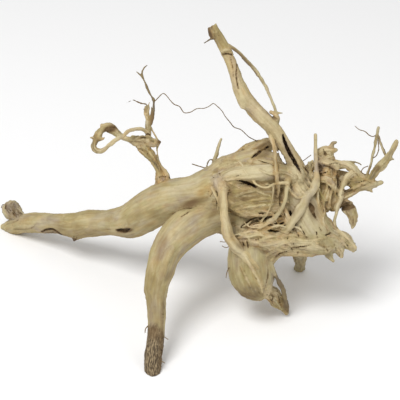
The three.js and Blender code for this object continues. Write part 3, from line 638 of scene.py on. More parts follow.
add_creepers(0.9, side=-1.0, creepers=[
    ("straw", [[0, 18, 0, 1.4], [20, 24, 0.5, 1.8], [42, 18, 0.5, 1.8], [62, 22, 0, 1.4]]),
    ("sandy", [[20, 4, 0, 1.8], [40, 0, 0.5, 2.2], [64, -6, 0.5, 2.2], [90, -2, 0, 1.8]]),
    ("ochre", [
        [44, 36, 0, 1.2], [56, 20, 0.5, 1.6], [60, 2, 0.5, 1.7], [52, -20, 0.4, 1.5], [56, -44, 0, 1.1]]),
    ("pale", [[70, 20, 0, 1.4], [84, 8, 0.6, 2.0], [100, 6, 0.4, 1.8], [116, 16, 0, 1.4]]),
    ("grey", [[30, -24, 0, 1.2], [48, -30, 0.5, 1.6], [72, -28, 0.4, 1.8], [96, -34, 0, 1.4]]),
    ("ochre", [[96, 14, 0, 1.2], [104, 0, 0.5, 1.6], [108, -18, 0.5, 1.6], [120, -30, 0, 1.2]]),
    ("straw", [[34, -50, 0, 1.2], [44, -60, 0.5, 1.6], [50, -76, 0.4, 1.5], [54, -90, 0, 1.0]]),
    ("sandy", [[-60, -8, 0, 1.0], [-40, 4, 0.4, 1.4], [-16, 6, 0.5, 1.6], [6, 14, 0, 1.4]]),
    ("sandy", [[-34, -60, 0, 1.0], [-26, -44, 0.4, 1.4], [-10, -30, 0.5, 1.6], [8, -20, 0, 1.2]]),
    ("ochre", [[56, -34, 0, 1.2], [66, -32, 0.5, 1.6], [76, -30, 0.4, 1.5], [82, -26, 0, 1.2]]),
])

FIBRES = 260
FIBRE_LENGTH = (8.0, 26.0)
FIBRE_RADIUS = (0.45, 1.0)
FIBRE_RISE = (0.0, 0.7)
FIBRE_SHADES = ("straw", "sandy", "pale", "ochre", "ochre", "grey", "brown")
FRAYED_FROM = 3.5
STRETCH_OVER = 0.85
STRETCH_DRIFT = 0.08
CALM = [
    ((50, 30), (32, 10)),
    ((60, 50), (18, 9)),
    ((108, -24), (11, 15)),
    ((50, 2), (24, 12)),
    ((128, 14), (10, 16)),
]


def random_stretch(frayed, length):
    """A stretch, about this long, of a random one of the roots, set over by a random share of its radius:
    five rows of across and up, or no rows where the root points at the eye or where the wood is calm."""
    points, radius = frayed[chance.integers(len(frayed))]["path"][:2]
    view = seen_from_front(points)[:, :2]
    middle, over = chance.integers(len(view)), chance.uniform(-STRETCH_OVER, STRETCH_OVER)
    far = np.hypot(*(view - view[middle]).T)
    stretch = np.flatnonzero((far < length / 2) & (np.abs(np.arange(len(view)) - middle) < 1.5 * length))
    rows = view[stretch[np.linspace(0, len(stretch) - 1, 5).round().astype(int)]]
    along = rows[-1] - rows[0]
    if len(stretch) < 8 or np.hypot(*along) < 0.4 * length:
        return rows[:0]
    across = np.array([-along[1], along[0]]) / np.hypot(*along)
    drift = np.linspace(-STRETCH_DRIFT, STRETCH_DRIFT, 5) * length * chance.normal()
    rows = rows + (over * radius[middle] + drift)[:, None] * across
    calm = any(np.all(np.abs(rows[2] - place) < half) for place, half in CALM)
    return rows[:0] if calm else rows


frayed = [limb for limb in limbs if limb["rough"] > 0.5 and limb["path"][1].mean() > FRAYED_FROM]
for number in range(FIBRES):
    rows = random_stretch(frayed, chance.uniform(*FIBRE_LENGTH))
    radius, rise = chance.uniform(*FIBRE_RADIUS), chance.uniform(*FIBRE_RISE)
    shade = FIBRE_SHADES[chance.integers(len(FIBRE_SHADES))]
    if len(rows):
        lift = np.array([0, rise, rise, rise, 0])
        girth = radius * np.array([0.5, 1, 1, 1, 0.5])
        fibre = np.column_stack([rows, lift, girth])
        add_creepers(0.5, [(shade, fibre)], side=1.0 if number % 3 else -1.0)

# The hollows
# Cracks, slots and rotted pits in the wood. Each is cut into the face along a path of across, up and
# half-width, to the given depth, and its inside is painted dark by the given strength where it is deep:
# partly dark rot, partly painted shade that grows darker down the wall. The deepest is a slit beside the
# prong's foot that goes right through.
RAGGED = 0.35
HOLLOWS = [
    ([
        [82.8, 65, 0.8], [85, 57, 1.6], [89, 48, 1.8], [94, 39, 1.7], [98, 32, 1.3],
        [101, 27, 0.6]], 11, 1.0),
    ([[78.5, 51, 0.5], [80.5, 46, 1.5], [83, 41, 2.0], [85.5, 36.5, 1.2]], 34, 0.0),
    ([[31, 146, 0.5], [35.5, 142, 0.6], [36.6, 134, 0.6], [36.2, 125, 0.7], [38.2, 112, 0.6]], 2.4, 0.6),
    ([[30.5, 142, 0.5], [32.5, 134, 0.55], [33.5, 124, 0.5]], 1.6, 0.35),
    ([[23, 145.5, 0.65], [27, 146.3, 0.75], [31, 145.2, 0.6]], 2.4, 0.95),
    ([[12, 175, 0.4], [14, 168, 0.5], [15, 162, 0.3]], 1.6, 0.5),
    ([[16.5, 174, 0.4], [18, 167, 0.4], [20, 160, 0.3]], 1.6, 0.4),
    ([[81, 10, 2.2], [82, -4, 2.8], [86, -13, 2.0]], 3.5, 0.2),
    ([[41.5, -27, 1.0], [47, -23, 1.4], [54, -18.5, 1.1], [62, -17, 0.9], [70, -19, 0.9]], 4.5, 0.45),
    ([[46, -27, 1.6], [56, -24.5, 2.6], [68, -24, 1.8]], 3.2, 0.1),
    ([[72, -23, 0.8], [79, -21.5, 1.2], [84, -18, 1.2], [85, -14, 0.8]], 2.2, 0.2),
    ([[74, -29, 0.6], [80, -27.5, 0.8], [86, -26.5, 0.6]], 2.2, 0.4),
    ([[90, -11, 0.8], [91.5, -17, 1.4], [93, -22, 0.8]], 9, 0.8),
    ([[36, 20, 0.5], [41, 19, 0.9], [46, 17.5, 1.5], [51, 15.5, 1.4], [55.5, 13, 0.6]], 8, 0.95),
    ([[33, 21.5, 0.4], [37, 24, 0.65], [42, 25.5, 0.4]], 2.2, 0.5),
    ([[51.5, 42, 0.7], [57, 46, 1.3], [63, 50, 1.5], [67.5, 53, 1.0]], 4.5, 0.8),
    ([[58, 40, 0.6], [66, 37, 0.7], [73, 34.5, 0.6]], 2.4, 0.5),
    ([[19.5, 26, 0.6], [22, 22, 0.9], [22.5, 18, 0.5]], 3, 0.55),
    ([[19.5, 8, 0.5], [18, 3, 0.6], [17, -3, 0.6], [17.5, -8, 0.5]], 3, 0.5),
    ([[10.5, 4, 0.6], [13.5, 9, 0.5]], 2.4, 0.45),
    ([[6, -2, 0.4], [8, 5, 0.5], [9, 10, 0.4]], 2, 0.4),
    ([[-27, -14, 0.4], [-21, -11, 0.6], [-15, -8.5, 0.8], [-9, -8.5, 0.7], [-3, -6, 0.4]], 3, 0.5),
    ([[-19, -17, 0.4], [-14, -14, 0.7], [-10, -11.5, 0.5]], 2.4, 0.5),
    ([
        [-36, -98, 0.3], [-36.5, -110, 0.45], [-37.5, -130, 0.5], [-38.5, -150, 0.55],
        [-39.5, -172, 0.5]], 2.4, 0.5),
    ([
        [-83.5, -29.8, 0.5], [-80, -30.2, 1.8], [-76, -30.6, 2.4], [-72.5, -30, 1.6],
        [-70, -28.5, 0.5]], 5, 1.0),
    ([[-106, -30.5, 0.4], [-96, -29.8, 0.45], [-88, -29, 0.4]], 1.2, 0.15),
    ([
        [-158, -31.5, 0.7], [-153, -29.5, 1.0], [-147, -29.2, 1.0], [-142, -32, 0.8],
        [-138, -34.5, 0.5]], 3.5, 0.9),
    ([
        [-186, -29.3, 0.5], [-176, -29.3, 0.6], [-169, -28.3, 0.6], [-165.5, -26, 0.6],
        [-163, -23.5, 0.4]], 1.8, 0.4),
    ([[-181, -20, 0.6], [-187, -22.5, 0.6], [-193, -24, 0.5]], 2, 0.35),
    ([[-43, 21, 0.5], [-39, 23, 0.6], [-33, 23, 0.5], [-30, 22, 0.4]], 2.4, 0.5),
    ([[109.5, -3, 1.0], [111.5, -8, 3.0], [113, -13, 1.8], [117, -20, 0.6]], 4, 0.6),
    ([[118.5, 37, 0.8], [120.5, 33, 1.5], [122, 29.5, 0.8]], 2.6, 0.3),
    ([[117.5, 25.5, 0.5], [122, 26.5, 0.7], [127, 28, 0.5]], 3, 0.55),
    ([[123.5, 50, 0.9], [125.5, 46, 1.4]], 2.5, 0.32),
    ([[118.5, 47, 0.6], [118.5, 40, 0.7]], 2.5, 0.4),
    ([[136.5, 24.5, 1.2], [138, 19, 1.3]], 2.5, 0.38),
    ([[143.5, 10, 0.7], [147.5, 8.5, 1.5], [152, 10, 0.9]], 4, 0.6),
    ([[158, 17, 0.5], [164, 19, 0.6], [171, 17.5, 0.5]], 2.5, 0.45),
    ([[126.5, -2, 1.2], [126, -10, 1.7]], 2.2, 0.2),
    ([[141.5, -8, 2.4], [146, -6.5, 3.8], [150.5, -5.5, 3.6], [154, -6, 2.2]], 6.5, 0.6),
    ([[116.5, -32, 0.6], [117.2, -37, 0.6]], 2.4, 0.5),
    ([[119.5, -28, 0.6], [121, -30.5, 0.6]], 2.4, 0.5),
    ([[126, -35, 0.8], [130.5, -33, 0.7]], 3, 0.4),
    ([[100, -26, 0.5], [104, -33, 0.8], [106.5, -38, 0.5]], 3.2, 0.5),
    ([[96, -31, 0.6], [99, -37, 0.6]], 2.6, 0.45),
    ([[85, -47.5, 0.4], [96, -47.5, 0.6], [103, -46.5, 0.7], [110.5, -45, 0.4]], 3.6, 0.42),
    ([[75.5, -56.5, 0.5], [80, -53, 0.9], [86.5, -51.5, 0.5]], 3, 0.5),
    ([[82, -41, 0.5], [90, -38.5, 0.6], [98, -38, 0.5]], 2.5, 0.42),
    ([[37, -42, 0.9], [39.5, -42.5, 1.0]], 3.5, 0.55),
    ([[43, -43, 1.0], [44, -45.5, 0.9]], 3.5, 0.55),
    ([[47, -41.5, 0.8], [48.2, -47, 0.9]], 3.5, 0.58),
    ([[40.5, -46, 0.7], [42, -47.5, 0.6]], 2.6, 0.5),
    ([[37, -44.5, 0.6], [38.5, -46.5, 0.6]], 2.6, 0.45),
    ([[-95, 70, 1.0], [-90, 72.5, 2.0], [-84.5, 72.5, 1.0]], 1.6, 0.6),
    ([[-70, 58, 0.5], [-62, 58.5, 0.7], [-56, 57, 0.5]], 1.4, 0.4),
    ([[-63, 52, 0.5], [-56, 49, 0.7], [-50, 43, 0.5]], 1.2, 0.3),
    ([[-46, 44, 0.4], [-40.5, 34, 0.5], [-37, 27, 0.4]], 1.6, 0.35),
    ([[-58, 63, 0.5], [-52, 66, 0.8], [-47, 62, 0.5]], 2, 0.5),
    ([[124, -47, 0.6], [127, -50, 0.7]], 3.4, 0.6),
    ([[134.5, -44, 0.5], [136, -50, 0.6]], 2.6, 0.4),
    ([[144, -40, 0.5], [148, -46, 0.6]], 2.2, 0.35),
    ([[103, 33, 0.6], [107, 29, 0.8], [109, 26, 0.5]], 3, 0.6),
    ([[89, 22, 0.5], [91, 14, 0.7], [94, 8, 0.5]], 2.5, 0.4),
    ([[53, -73.5, 0.4], [57, -79, 0.7], [59.5, -83, 0.4]], 1.8, 0.45),
    ([[66, -83, 0.4], [64, -90, 0.5], [62, -95.5, 0.4]], 1.6, 0.6),
    ([[68, -70, 0.8], [68, -75, 1.2], [66.5, -82, 0.6]], 1.4, 0.3),
    ([[70, -92, 0.5], [72.5, -97, 0.7], [72, -102, 0.4]], 2, 0.5),
    ([[77, -91, 0.5], [79, -99, 0.8], [81, -107, 0.5]], 2, 0.55),
]
BACK_HOLLOWS = [
    ([[30, 8, 2.0], [44, 4, 3.6], [58, 6, 2.0]], 9, 0.9),
    ([[72, -12, 1.4], [84, -16, 3.0], [94, -14, 1.4]], 8, 0.9),
    ([[98, 10, 1.0], [104, 0, 2.4], [106, -12, 1.2]], 8, 0.9),
    ([[40, 30, 0.8], [52, 34, 1.6], [62, 38, 0.8]], 5, 0.8),
    ([[46, -40, 0.8], [42, -54, 1.6], [46, -68, 0.8]], 4, 0.8),
    ([[-30, -4, 0.7], [-14, 0, 1.2], [2, 2, 0.7]], 3, 0.7),
    ([[-100, -22, 0.7], [-86, -20, 1.2], [-70, -16, 0.7]], 3, 0.7),
    ([[118, 30, 1.2], [124, 22, 2.2], [124, 12, 1.2]], 7, 0.85),
]
CRACKS = 260
CRACK_LENGTH = (4.0, 16.0)
CRACK_HALF = (0.35, 0.7)
CRACK_DEPTH = (1.2, 2.6)
CRACK_STRENGTH = (0.25, 0.6)
HALO = 3.5


def lay_hollow(stations, depth, strength, side):
    """A hollow's path on the wood's face, with its depth, strength and a box round it as seen from the
    front."""
    rows = lie_on_face(np.insert(stations, 2, 0, axis=1), hollowed_wood, side)
    rim = np.stack([rows[:, 3], rows[:, 3], np.full(len(rows), float(depth))], axis=1) + HALO
    box = (rows[:, :3] - rim).min(0), (rows[:, :3] + rim).max(0)
    return {"rows": rows, "depth": depth, "strength": strength, "box": box, "side": side}


def drying_cracks():
    """Short cracks along the grain of the rough roots, a third of them on the far side, thin at both
    ends."""
    cracks = []
    for number in range(CRACKS):
        rows = random_stretch(frayed, chance.uniform(*CRACK_LENGTH))
        half, depth = chance.uniform(*CRACK_HALF), chance.uniform(*CRACK_DEPTH)
        strength, side = chance.uniform(*CRACK_STRENGTH), 1.0 if number % 3 else -1.0
        if len(rows):
            stations = np.column_stack([rows, half * np.array([0.5, 0.9, 1, 0.9, 0.5])])
            cracks.append((stations, depth, strength, side))
    return cracks


hollows = [lay_hollow(*hollow, 1.0) for hollow in HOLLOWS]
hollows += [lay_hollow(*hollow, -1.0) for hollow in BACK_HOLLOWS]
hollows += [lay_hollow(*crack) for crack in drying_cracks()]


def in_hollow(view, hollow):
    """How far outside a hollow points of the front view are, about, in millimetres, and what share of its
    depth they have reached. A hollow is the union of ellipsoids along its path, each half-width wide and
    depth deep, and its wall is ragged by random waves."""
    rows, depth = hollow["rows"], hollow["depth"]
    shares, reached = np.full(len(view), np.inf), np.zeros(len(view))
    for across, up, toward, half in rows:
        sunk = (view[:, 2] - toward) / depth
        gap = np.sqrt(((view[:, 0] - across) ** 2 + (view[:, 1] - up) ** 2) / half**2 + sunk**2) - 1
        gap *= min(half, depth)
        nearer = gap < shares
        shares = np.where(nearer, gap, shares)
        reached = np.where(nearer, -sunk * hollow["side"], reached)
    width = rows[:, 3].mean()
    return shares + RAGGED * min(width, 2.5) * ripple(view / (1.3 + 0.7 * width), 11), reached


# The skin
# All the roots grow into one body. The distance to its surface is worked out on a fine grid of cells, cut
# into slabs from the arm's end to the tangle, and each slab's skin is laid where the distance is nothing.
CELL = 0.8
NO_WOOD = 50.0
BAND = 3.0
DEEPEST_KEPT = 6.0
CAVITY_REACH = 4.0
SLAB_OVERLAP = 1.5
RIM_SINK = 0.6
SLABS = {
    "wood_arm_end": (-216, -58),
    "wood_arm_and_leg": (-58, 14),
    "wood_heart": (14, 50),
    "wood_belly": (50, 76),
    "wood_side": (76, 100),
    "wood_flank": (100, 132),
    "wood_tangle": (132, 218),
}

chain = [np.concatenate([limb["path"][part] for limb in limbs]) for part in range(6)]
spine, spine_radius, spine_along, spine_tangent, spine_first, spine_second = chain
lengths = np.array([len(limb["path"][0]) for limb in limbs])
starts = np.concatenate([[0], np.cumsum(lengths)[:-1]])
spine_limb = np.repeat(np.arange(len(limbs)), lengths)
spine_shade = np.array([(*limb["shade"], limb["rough"]) for limb in limbs])[spine_limb]
spine_over = np.array([limb["over"] for limb in limbs])[spine_limb]


def cells_of(low, high, corner, shape):
    """The block of cells that holds a box: from the cell under its low corner to the one over its high
    one."""
    first = np.clip(np.floor((low - corner) / CELL).astype(int), 0, shape)
    last = np.clip(np.ceil((high - corner) / CELL).astype(int) + 1, 0, shape)
    return first, last


def grow(depth, owner, over, corner, axes):
    """Grows the roots that lie over the others, or all the rest, into the wood: the distance from each cell
    to the skin, negative inside, and the path point that each cell belongs to. A root's distance is the
    least, over its path points, of the distance to the point less the radius there. Two roots join with a
    fillet: the lesser distance drops by (fillet - difference) squared / 4 fillet."""
    shape = depth.shape
    for limb, start in zip(limbs, starts):
        if limb["over"] != over:
            continue
        points, radius = limb["path"][:2]
        reach = radius + limb["fillet"] + 2 * CELL
        lows, highs = points - reach[:, None], points + reach[:, None]
        first, last = cells_of(lows.min(0), highs.max(0), corner, shape)
        if np.any(last <= first):
            continue
        block = tuple(slice(a, b) for a, b in zip(first, last))
        local = np.full(last - first, np.inf, np.float32)
        mine = np.zeros(last - first, np.int32)
        heads, tails = cells_of(lows, highs, corner, shape)
        for number in np.flatnonzero(np.all(tails > heads, axis=1)):
            head, tail = heads[number], tails[number]
            dx, dy, dz = (
                (axis[a:b] - centre) ** 2
                for axis, a, b, centre in zip(axes, head, tail, points[number].astype(np.float32))
            )
            near = np.sqrt(dx[:, None, None] + dy[None, :, None] + dz[None, None, :])
            near -= np.float32(radius[number])
            inner = tuple(slice(a - o, b - o) for a, b, o in zip(head, tail, first))
            nearer = near < local[inner]
            np.copyto(local[inner], near, where=nearer)
            np.copyto(mine[inner], start + number, where=nearer)
        whole, fillet = depth[block], limb["fillet"]
        np.copyto(owner[block], mine, where=local < whole)
        drop = np.maximum(fillet - np.abs(whole - local), 0)
        depth[block] = np.minimum(whole, local) - drop * drop / (4 * fillet)


def carve(depth, corner, axes):
    """Takes the hollows out of the wood: the distance rises to the negative distance of each hollow."""
    for hollow in hollows:
        corners = stand(np.array(np.meshgrid(*zip(*hollow["box"]))).reshape(3, -1).T)
        first, last = cells_of(corners.min(0), corners.max(0), corner, depth.shape)
        if np.any(last <= first):
            continue
        block = tuple(slice(a, b) for a, b in zip(first, last))
        spots = np.stack(np.meshgrid(*(axis[s] for axis, s in zip(axes, block)), indexing="ij"), axis=-1)
        view = seen_from_front(spots.reshape(-1, 3))
        low, high = hollow["box"]
        inside = np.flatnonzero(np.all((view > low) & (view < high), axis=1))
        gap, _ = in_hollow(view[inside], hollow)
        part = depth[block].reshape(-1)
        part[inside] = np.maximum(part[inside], -gap)
        depth[block] = part.reshape(depth[block].shape)


def box_blur(depth, half_width):
    """The mean over a cube round each cell, from running sums along the three axes in turn."""
    width = 2 * half_width + 1
    for axis in range(3):
        pad = [(0, 0)] * 3
        pad[axis] = (half_width + 1, half_width)
        sums = np.cumsum(np.pad(depth, pad, mode="edge"), axis=axis, dtype=np.float32)
        ahead = np.take(sums, np.arange(width, sums.shape[axis]), axis=axis)
        behind = np.take(sums, np.arange(sums.shape[axis] - width), axis=axis)
        depth = (ahead - behind) / width
    return depth


def skin_normals(points, quads):
    """Unit normals at the corners: the sum of the crossed diagonals of the faces round each."""
    a, b, c, d = (points[quads[:, i]] for i in range(4))
    face = np.cross(c - a, d - b)
    round_all = quads.ravel()
    sums = [np.bincount(round_all, weights=np.repeat(part, 4), minlength=len(points)) for part in face.T]
    normal = np.stack(sums, axis=1)
    return normal / np.maximum(np.linalg.norm(normal, axis=1), 1e-9)[:, None]


def even_out(values, quads, rounds):
    """Spreads values over the skin: in each round a corner takes half from itself, half from its
    neighbours."""
    heads = np.concatenate([quads.ravel(), np.roll(quads, -1, axis=1).ravel()])
    tails = np.concatenate([np.roll(quads, -1, axis=1).ravel(), quads.ravel()])
    count = np.maximum(np.bincount(heads, minlength=len(values)), 1)
    for _ in range(rounds):
        spread = [np.bincount(heads, weights=v[tails], minlength=len(values)) / count for v in values.T]
        values = 0.5 * values + 0.5 * np.stack(spread, axis=1)
    return values


# The stains and the bark
# Colour that belongs to a place: bark left on the foot of the leg, dark rot round cracks, ochre where roots
# were stripped. Shaded spots lower the wood's tone and bright spots raise it: partly its own tone, partly
# painted shade, as under the brow, on the bottom of the round lump and below the arm, and painted light on
# lit tops such as the brow. Some dark spots are painted shade too, as under the crest. Each spot lies on
# the face: across, up, half its length, half its width, turn and strength.
STAIN_DEPTH = 12.0
BARK_DEPTH = 36.0
DARK_PATCH = 4.0
DARK_AT_RIM = 0.35
DARK_RISE = 1.95
HALO_SHARE = 0.75
STAINS = {
    "ochre": [
        (6, 9, 10, 7, 30, 0.75), (28, 17, 16, 5, -12, 0.5), (60, 53, 16, 6, 35, 0.8),
        (124, 44, 12, 8, 0, 0.9), (62, -26, 17, 6, 5, 1.0), (-36, 22, 7, 5, 90, 0.7),
        (121, -12, 14, 5, 90, 0.8), (152, 16, 16, 9, 20, 0.75), (24, -8, 34, 6, -88, 0.45),
        (58, -80, 12, 4, -60, 0.5), (-45, -62, 8, 5, 60, 0.5), (34, 128, 26, 4, -80, 0.8),
        (48, 92, 9, 4, -20, 0.5), (70, 72, 8, 5, -45, 0.5), (100, -34, 8, 4, -40, 0.6),
        (10, -42, 10, 3, 20, 0.5), (-46, -70, 10, 3, 75, 0.4), (30, -38, 10, 5, -50, 0.5),
        (76, 34, 24, 4, -88, 1.0), (95, 17, 15, 7, -60, 0.6), (-175, -20, 9, 4, 10, 0.4),
        (-60, 55, 9, 6, 30, 0.6), (-105, 57, 6, 9, 0, 0.9), (33, 136, 13, 3.5, -80, 0.7),
        (126, 30, 15, 12, 0, 0.95), (142, 0, 11, 7, 0, 0.7), (71, -92, 9, 7, 0, 1.0),
        (76, 84, 6, 4, 0, 0.6), (13, 168, 5, 3, -60, 0.6), (-38, -50, 16, 4, 72, 0.45),
        (130, 12, 9, 14, 0, 0.95), (60, 5, 22, 8, 0, 0.35), (150, 30, 12, 3, -30, 0.5),
    ],
    # Dark spots: rot and dark patches, and painted shade under the crest.
    "dark": [
        (-75, -30.5, 8, 2.6, 4, 0.9), (-148, -31.5, 9, 1.8, 4, 0.35), (-105, -29.6, 24, 1.8, 2, 0.2),
        (-6, -3, 17, 5, 20, 0.55), (-89, 71.5, 8, 4, 15, 0.85), (147, -6.5, 8, 5, -10, 0.5),
        (84, -104, 9, 3, -60, 0.3), (48, -96, 14, 4, 0, 0.3), (-32, -76, 8, 3, 55, 0.35),
        (13, -14, 12, 3, 60, 0.25), (-38.5, -135, 46, 2.4, 88, 0.35), (-48, 82, 7, 3.5, 90, 0.7),
        (64, 46, 9, 4, 30, 0.6), (76, -1, 13, 4, 90, 0.35), (-54.5, 90, 3, 3, 0, 0.5),
        (120, 33, 6, 3.6, 85, 0.35), (154, 19, 9, 5, 15, 0.28), (147.5, 8, 5, 2.2, 20, 0.45),
        (42, 143.5, 18, 2.4, -43, 0.5), (-62, 97, 9, 4, 0, 0.7), (134, 57, 4, 3, 0, 0.45),
        (-39, -49, 18, 5, 70, 0.26), (-46, -133, 7, 8, 0, 0.35), (60, 121, 9, 1.0, -52, 0.35),
        (139, 18, 3, 6, 0, 0.3), (43, -45, 7, 4, 0, 0.35), (20, 0, 9, 2.2, 88, 0.3),
        (9, 168, 8, 2, -62, 0.9), (100, -64, 14, 10, 90, 0.12), (66, 54, 9, 5, 20, 0.45),
        (31, 4, 7, 2.4, 88, 0.35), (33, -12, 20, 3, 88, 0.4), (-40, 58.5, 3, 3, 0, 0.6),
        (177, 31.5, 4.5, 3.6, 45, 0.4), (188, 44.5, 8, 2.2, 58, 0.4), (169, 30, 8, 1.6, 75, 0.5),
        (16, 30, 3, 3, 0, 0.4), (113, -10, 13, 6, -75, 0.42), (-126, -40, 3.4, 2.2, 0, 0.9),
        (178.5, 57, 8, 1.4, 84, 0.45), (92, -9, 10, 3, -75, 0.25),
    ],
    "bark": [
        (-46, -154, 30, 16, 90, 1.0), (-186, -10, 12, 11, 0, 0.42), (99, -62, 14, 12, 90, 0.18),
        (10, 172, 4, 4, 0, 0.5), (-149, -33.5, 8, 2.2, 4, 0.6), (86, -109, 7, 5, -50, 0.45),
    ],
    "grey": [
        (-12, 20, 24, 8, 12, 0.8), (-90, -14, 30, 6, 0, 0.35), (110, -25, 15, 14, 0, 0.8),
        (62, 30, 20, 7, 0, 0.5), (48, -66, 22, 20, 90, 0.4), (6, -24, 14, 8, 40, 0.5),
        (-22, -50, 24, 6, 65, 0.4), (58, 8, 10, 6, 0, 0.6), (118, -50, 12, 5, 0, 0.4),
        (60, -12, 9, 3, 0, 0.3), (148, -40, 8, 6, -45, 0.5), (-44, -104, 26, 10, 90, 0.8),
        (50, 32, 24, 8, 0, 0.5), (83, 33, 8, 5, 90, 0.9), (84, -108, 10, 5, -55, 0.9),
    ],
    # Partly painted shade, as below the arm, under the brow and on the bottom of the round lump; the rest
    # darker tone.
    "darker_tone_and_painted_shade": [
        (-130, -30, 70, 8, -2, 0.75), (-60, -17, 40, 6, 20, 0.5), (14, 164, 15, 9, -60, 1.0),
        (-48, -105, 36, 11, 84, 0.75), (49, -93, 20, 10, 8, 1.2), (174, 50, 26, 3, 78, 0.45),
        (18, 50, 14, 4, 75, 0.2), (-50, 100, 36, 12, 90, 0.3), (76, 30, 24, 4, -88, 0.9),
        (38, -72, 12, 14, 0, 0.3), (-46, -133, 7, 9, 0, 0.8), (60, 132, 26, 8, -52, 0.4),
        (48, -2, 26, 14, 0, 0.7), (85, -111, 8, 6, -50, 0.3), (-100, 60, 12, 14, 0, 0.35),
        (10, -12, 22, 5, 40, 0.4), (-106, 46, 10, 4, 0, 0.6), (-105, 56, 6, 11, 0, 1.2),
        (83, 33, 8, 5, 90, 0.8), (62, -70, 14, 10, 90, 0.5), (-42, -76, 24, 8, 76, 0.35),
        (-60, 52, 14, 6, -30, 0.2),
    ],
    # Partly painted light, as on the lit top of the brow; the rest paler tone.
    "paler_tone_and_painted_light": [
        (50, 30, 28, 9, -3, 1.3), (-20, 14, 22, 6, 22, 0.8), (25, -10, 26, 4, -86, 0.8),
        (38, 106, 26, 6, -75, 0.7), (66, 78, 22, 8, -52, 1.0), (106, -22, 17, 15, 0, 0.9),
        (95, -10, 26, 4, 60, 0.5), (70, -34, 40, 3, 0, 0.4), (39, -52, 12, 6, -50, 1.1),
        (126, 46, 12, 8, 0, 0.9), (146, 33, 16, 9, -20, 0.9), (98, -45, 36, 9, 0, 0.8),
        (103, 17, 20, 10, -62, 1.5), (136, 0, 12, 18, 0, 0.6), (142, -42, 13, 10, -40, 0.8),
        (45, 97, 10, 9, -50, 1.2), (71, -92, 11, 8, -30, 1.7), (64, -25, 20, 6, 0, 0.3),
        (-58, 57, 12, 7, 0, 0.9), (100, -64, 12, 10, 0, 0.8), (56, 54, 14, 5, 30, 0.5),
        (182, 36, 14, 6, 50, 0.4),
    ],
    "mauve": [
        (-38, -48, 25, 6, 72, 0.4), (-186, -10, 11, 10, 0, 1.0), (18, 22, 7, 9, 0, 0.5),
        (-6, -20, 18, 4, 30, 0.4), (94, -8, 6, 12, -20, 0.4), (-47, -118, 24, 4, 90, 0.4),
        (112, -2, 8, 5, -80, 0.5), (147, -5, 8, 5, 0, 0.8), (-150, -31.5, 10, 2.4, 4, 0.6),
        (-148, -19, 14, 5, 0, 0.4), (88, 50, 18, 4, -62, 0.5), (76, -80, 10, 5, -60, 0.5),
        (120, 33, 7, 5, 85, 0.9), (-160, -28, 8, 5, 0, 0.4),
    ],
    "olive": [
        (-130, -20, 12, 8, 0, 0.5), (-62, -12, 30, 7, 12, 0.5), (96, 18, 16, 7, -60, 0.3),
        (58, -1, 18, 6, 5, 0.8), (34, -8, 20, 5, 90, 0.7), (152, 17, 12, 5, 15, 0.9),
        (20, 165, 14, 6, -60, 0.7), (41, 100, 9, 7, -60, 0.35), (70, 72, 14, 7, -50, 0.25),
        (-48, -80, 30, 7, 85, 0.5), (45, -80, 18, 16, 0, 0.5), (-52, 46, 10, 6, -60, 0.8),
        (-8, -4, 16, 6, 30, 0.6), (180, 34, 20, 4, 50, 0.7), (124, 4, 10, 12, 0, 0.5),
        (110, -40, 26, 5, 0, 0.5), (83, -106, 9, 6, -55, 0.7), (-98, 68, 8, 6, 0, 0.4),
    ],
}
for kind, spots in STAINS.items():
    faces = face_of(np.array([spot[:2] for spot in spots], float), all_wood)
    STAINS[kind] = [(*spot, face) for spot, face in zip(spots, faces)]


def stain(view, kind):
    """How strongly the spots of one kind colour each point: exp(-(along² + across²)²) times a fade with
    depth behind the face, the strongest spot winning. Bark goes all the way round."""
    strongest = np.zeros(len(view))
    depth = BARK_DEPTH if kind == "bark" else STAIN_DEPTH
    for across, up, half_length, half_width, turn, strength, face in STAINS[kind]:
        turn = math.radians(turn)
        a, b = view[:, 0] - across, view[:, 1] - up
        along = (a * math.cos(turn) + b * math.sin(turn)) / half_length
        over = (b * math.cos(turn) - a * math.sin(turn)) / half_width
        near = np.clip(2 - np.abs(view[:, 2] - face) / depth, 0, 1)
        strongest = np.maximum(strongest, strength * near * np.exp(-((along**2 + over**2) ** 2)))
    return strongest


def hollow_tone(view):
    """How dark the hollows make each point, and how ochre: dark by their strength where the wall is, from a
    third of it at the rim to the whole of it a third of the way down, in patches 4 mm long, and ochre in a
    halo round them. The dark is partly rot and partly painted shade, deepening down the wall."""
    tone = np.zeros((len(view), 2))
    for hollow in hollows:
        low, high = hollow["box"]
        close = np.flatnonzero(np.all((view > low) & (view < high), axis=1))
        if len(close) == 0:
            continue
        gap, reached = in_hollow(view[close], hollow)
        patches = np.clip(0.85 + 0.6 * ripple(view[close] / DARK_PATCH, 23), 0.3, 1)
        deep = np.clip(DARK_AT_RIM + DARK_RISE * reached, 0, 1)
        dark = hollow["strength"] * patches * deep * np.clip(1 - gap, 0, 1)
        halo = HALO_SHARE * hollow["strength"] * np.clip(1 - gap / HALO, 0, 1)
        tone[close] = np.maximum(tone[close], np.stack([dark, halo], axis=1))
    return tone


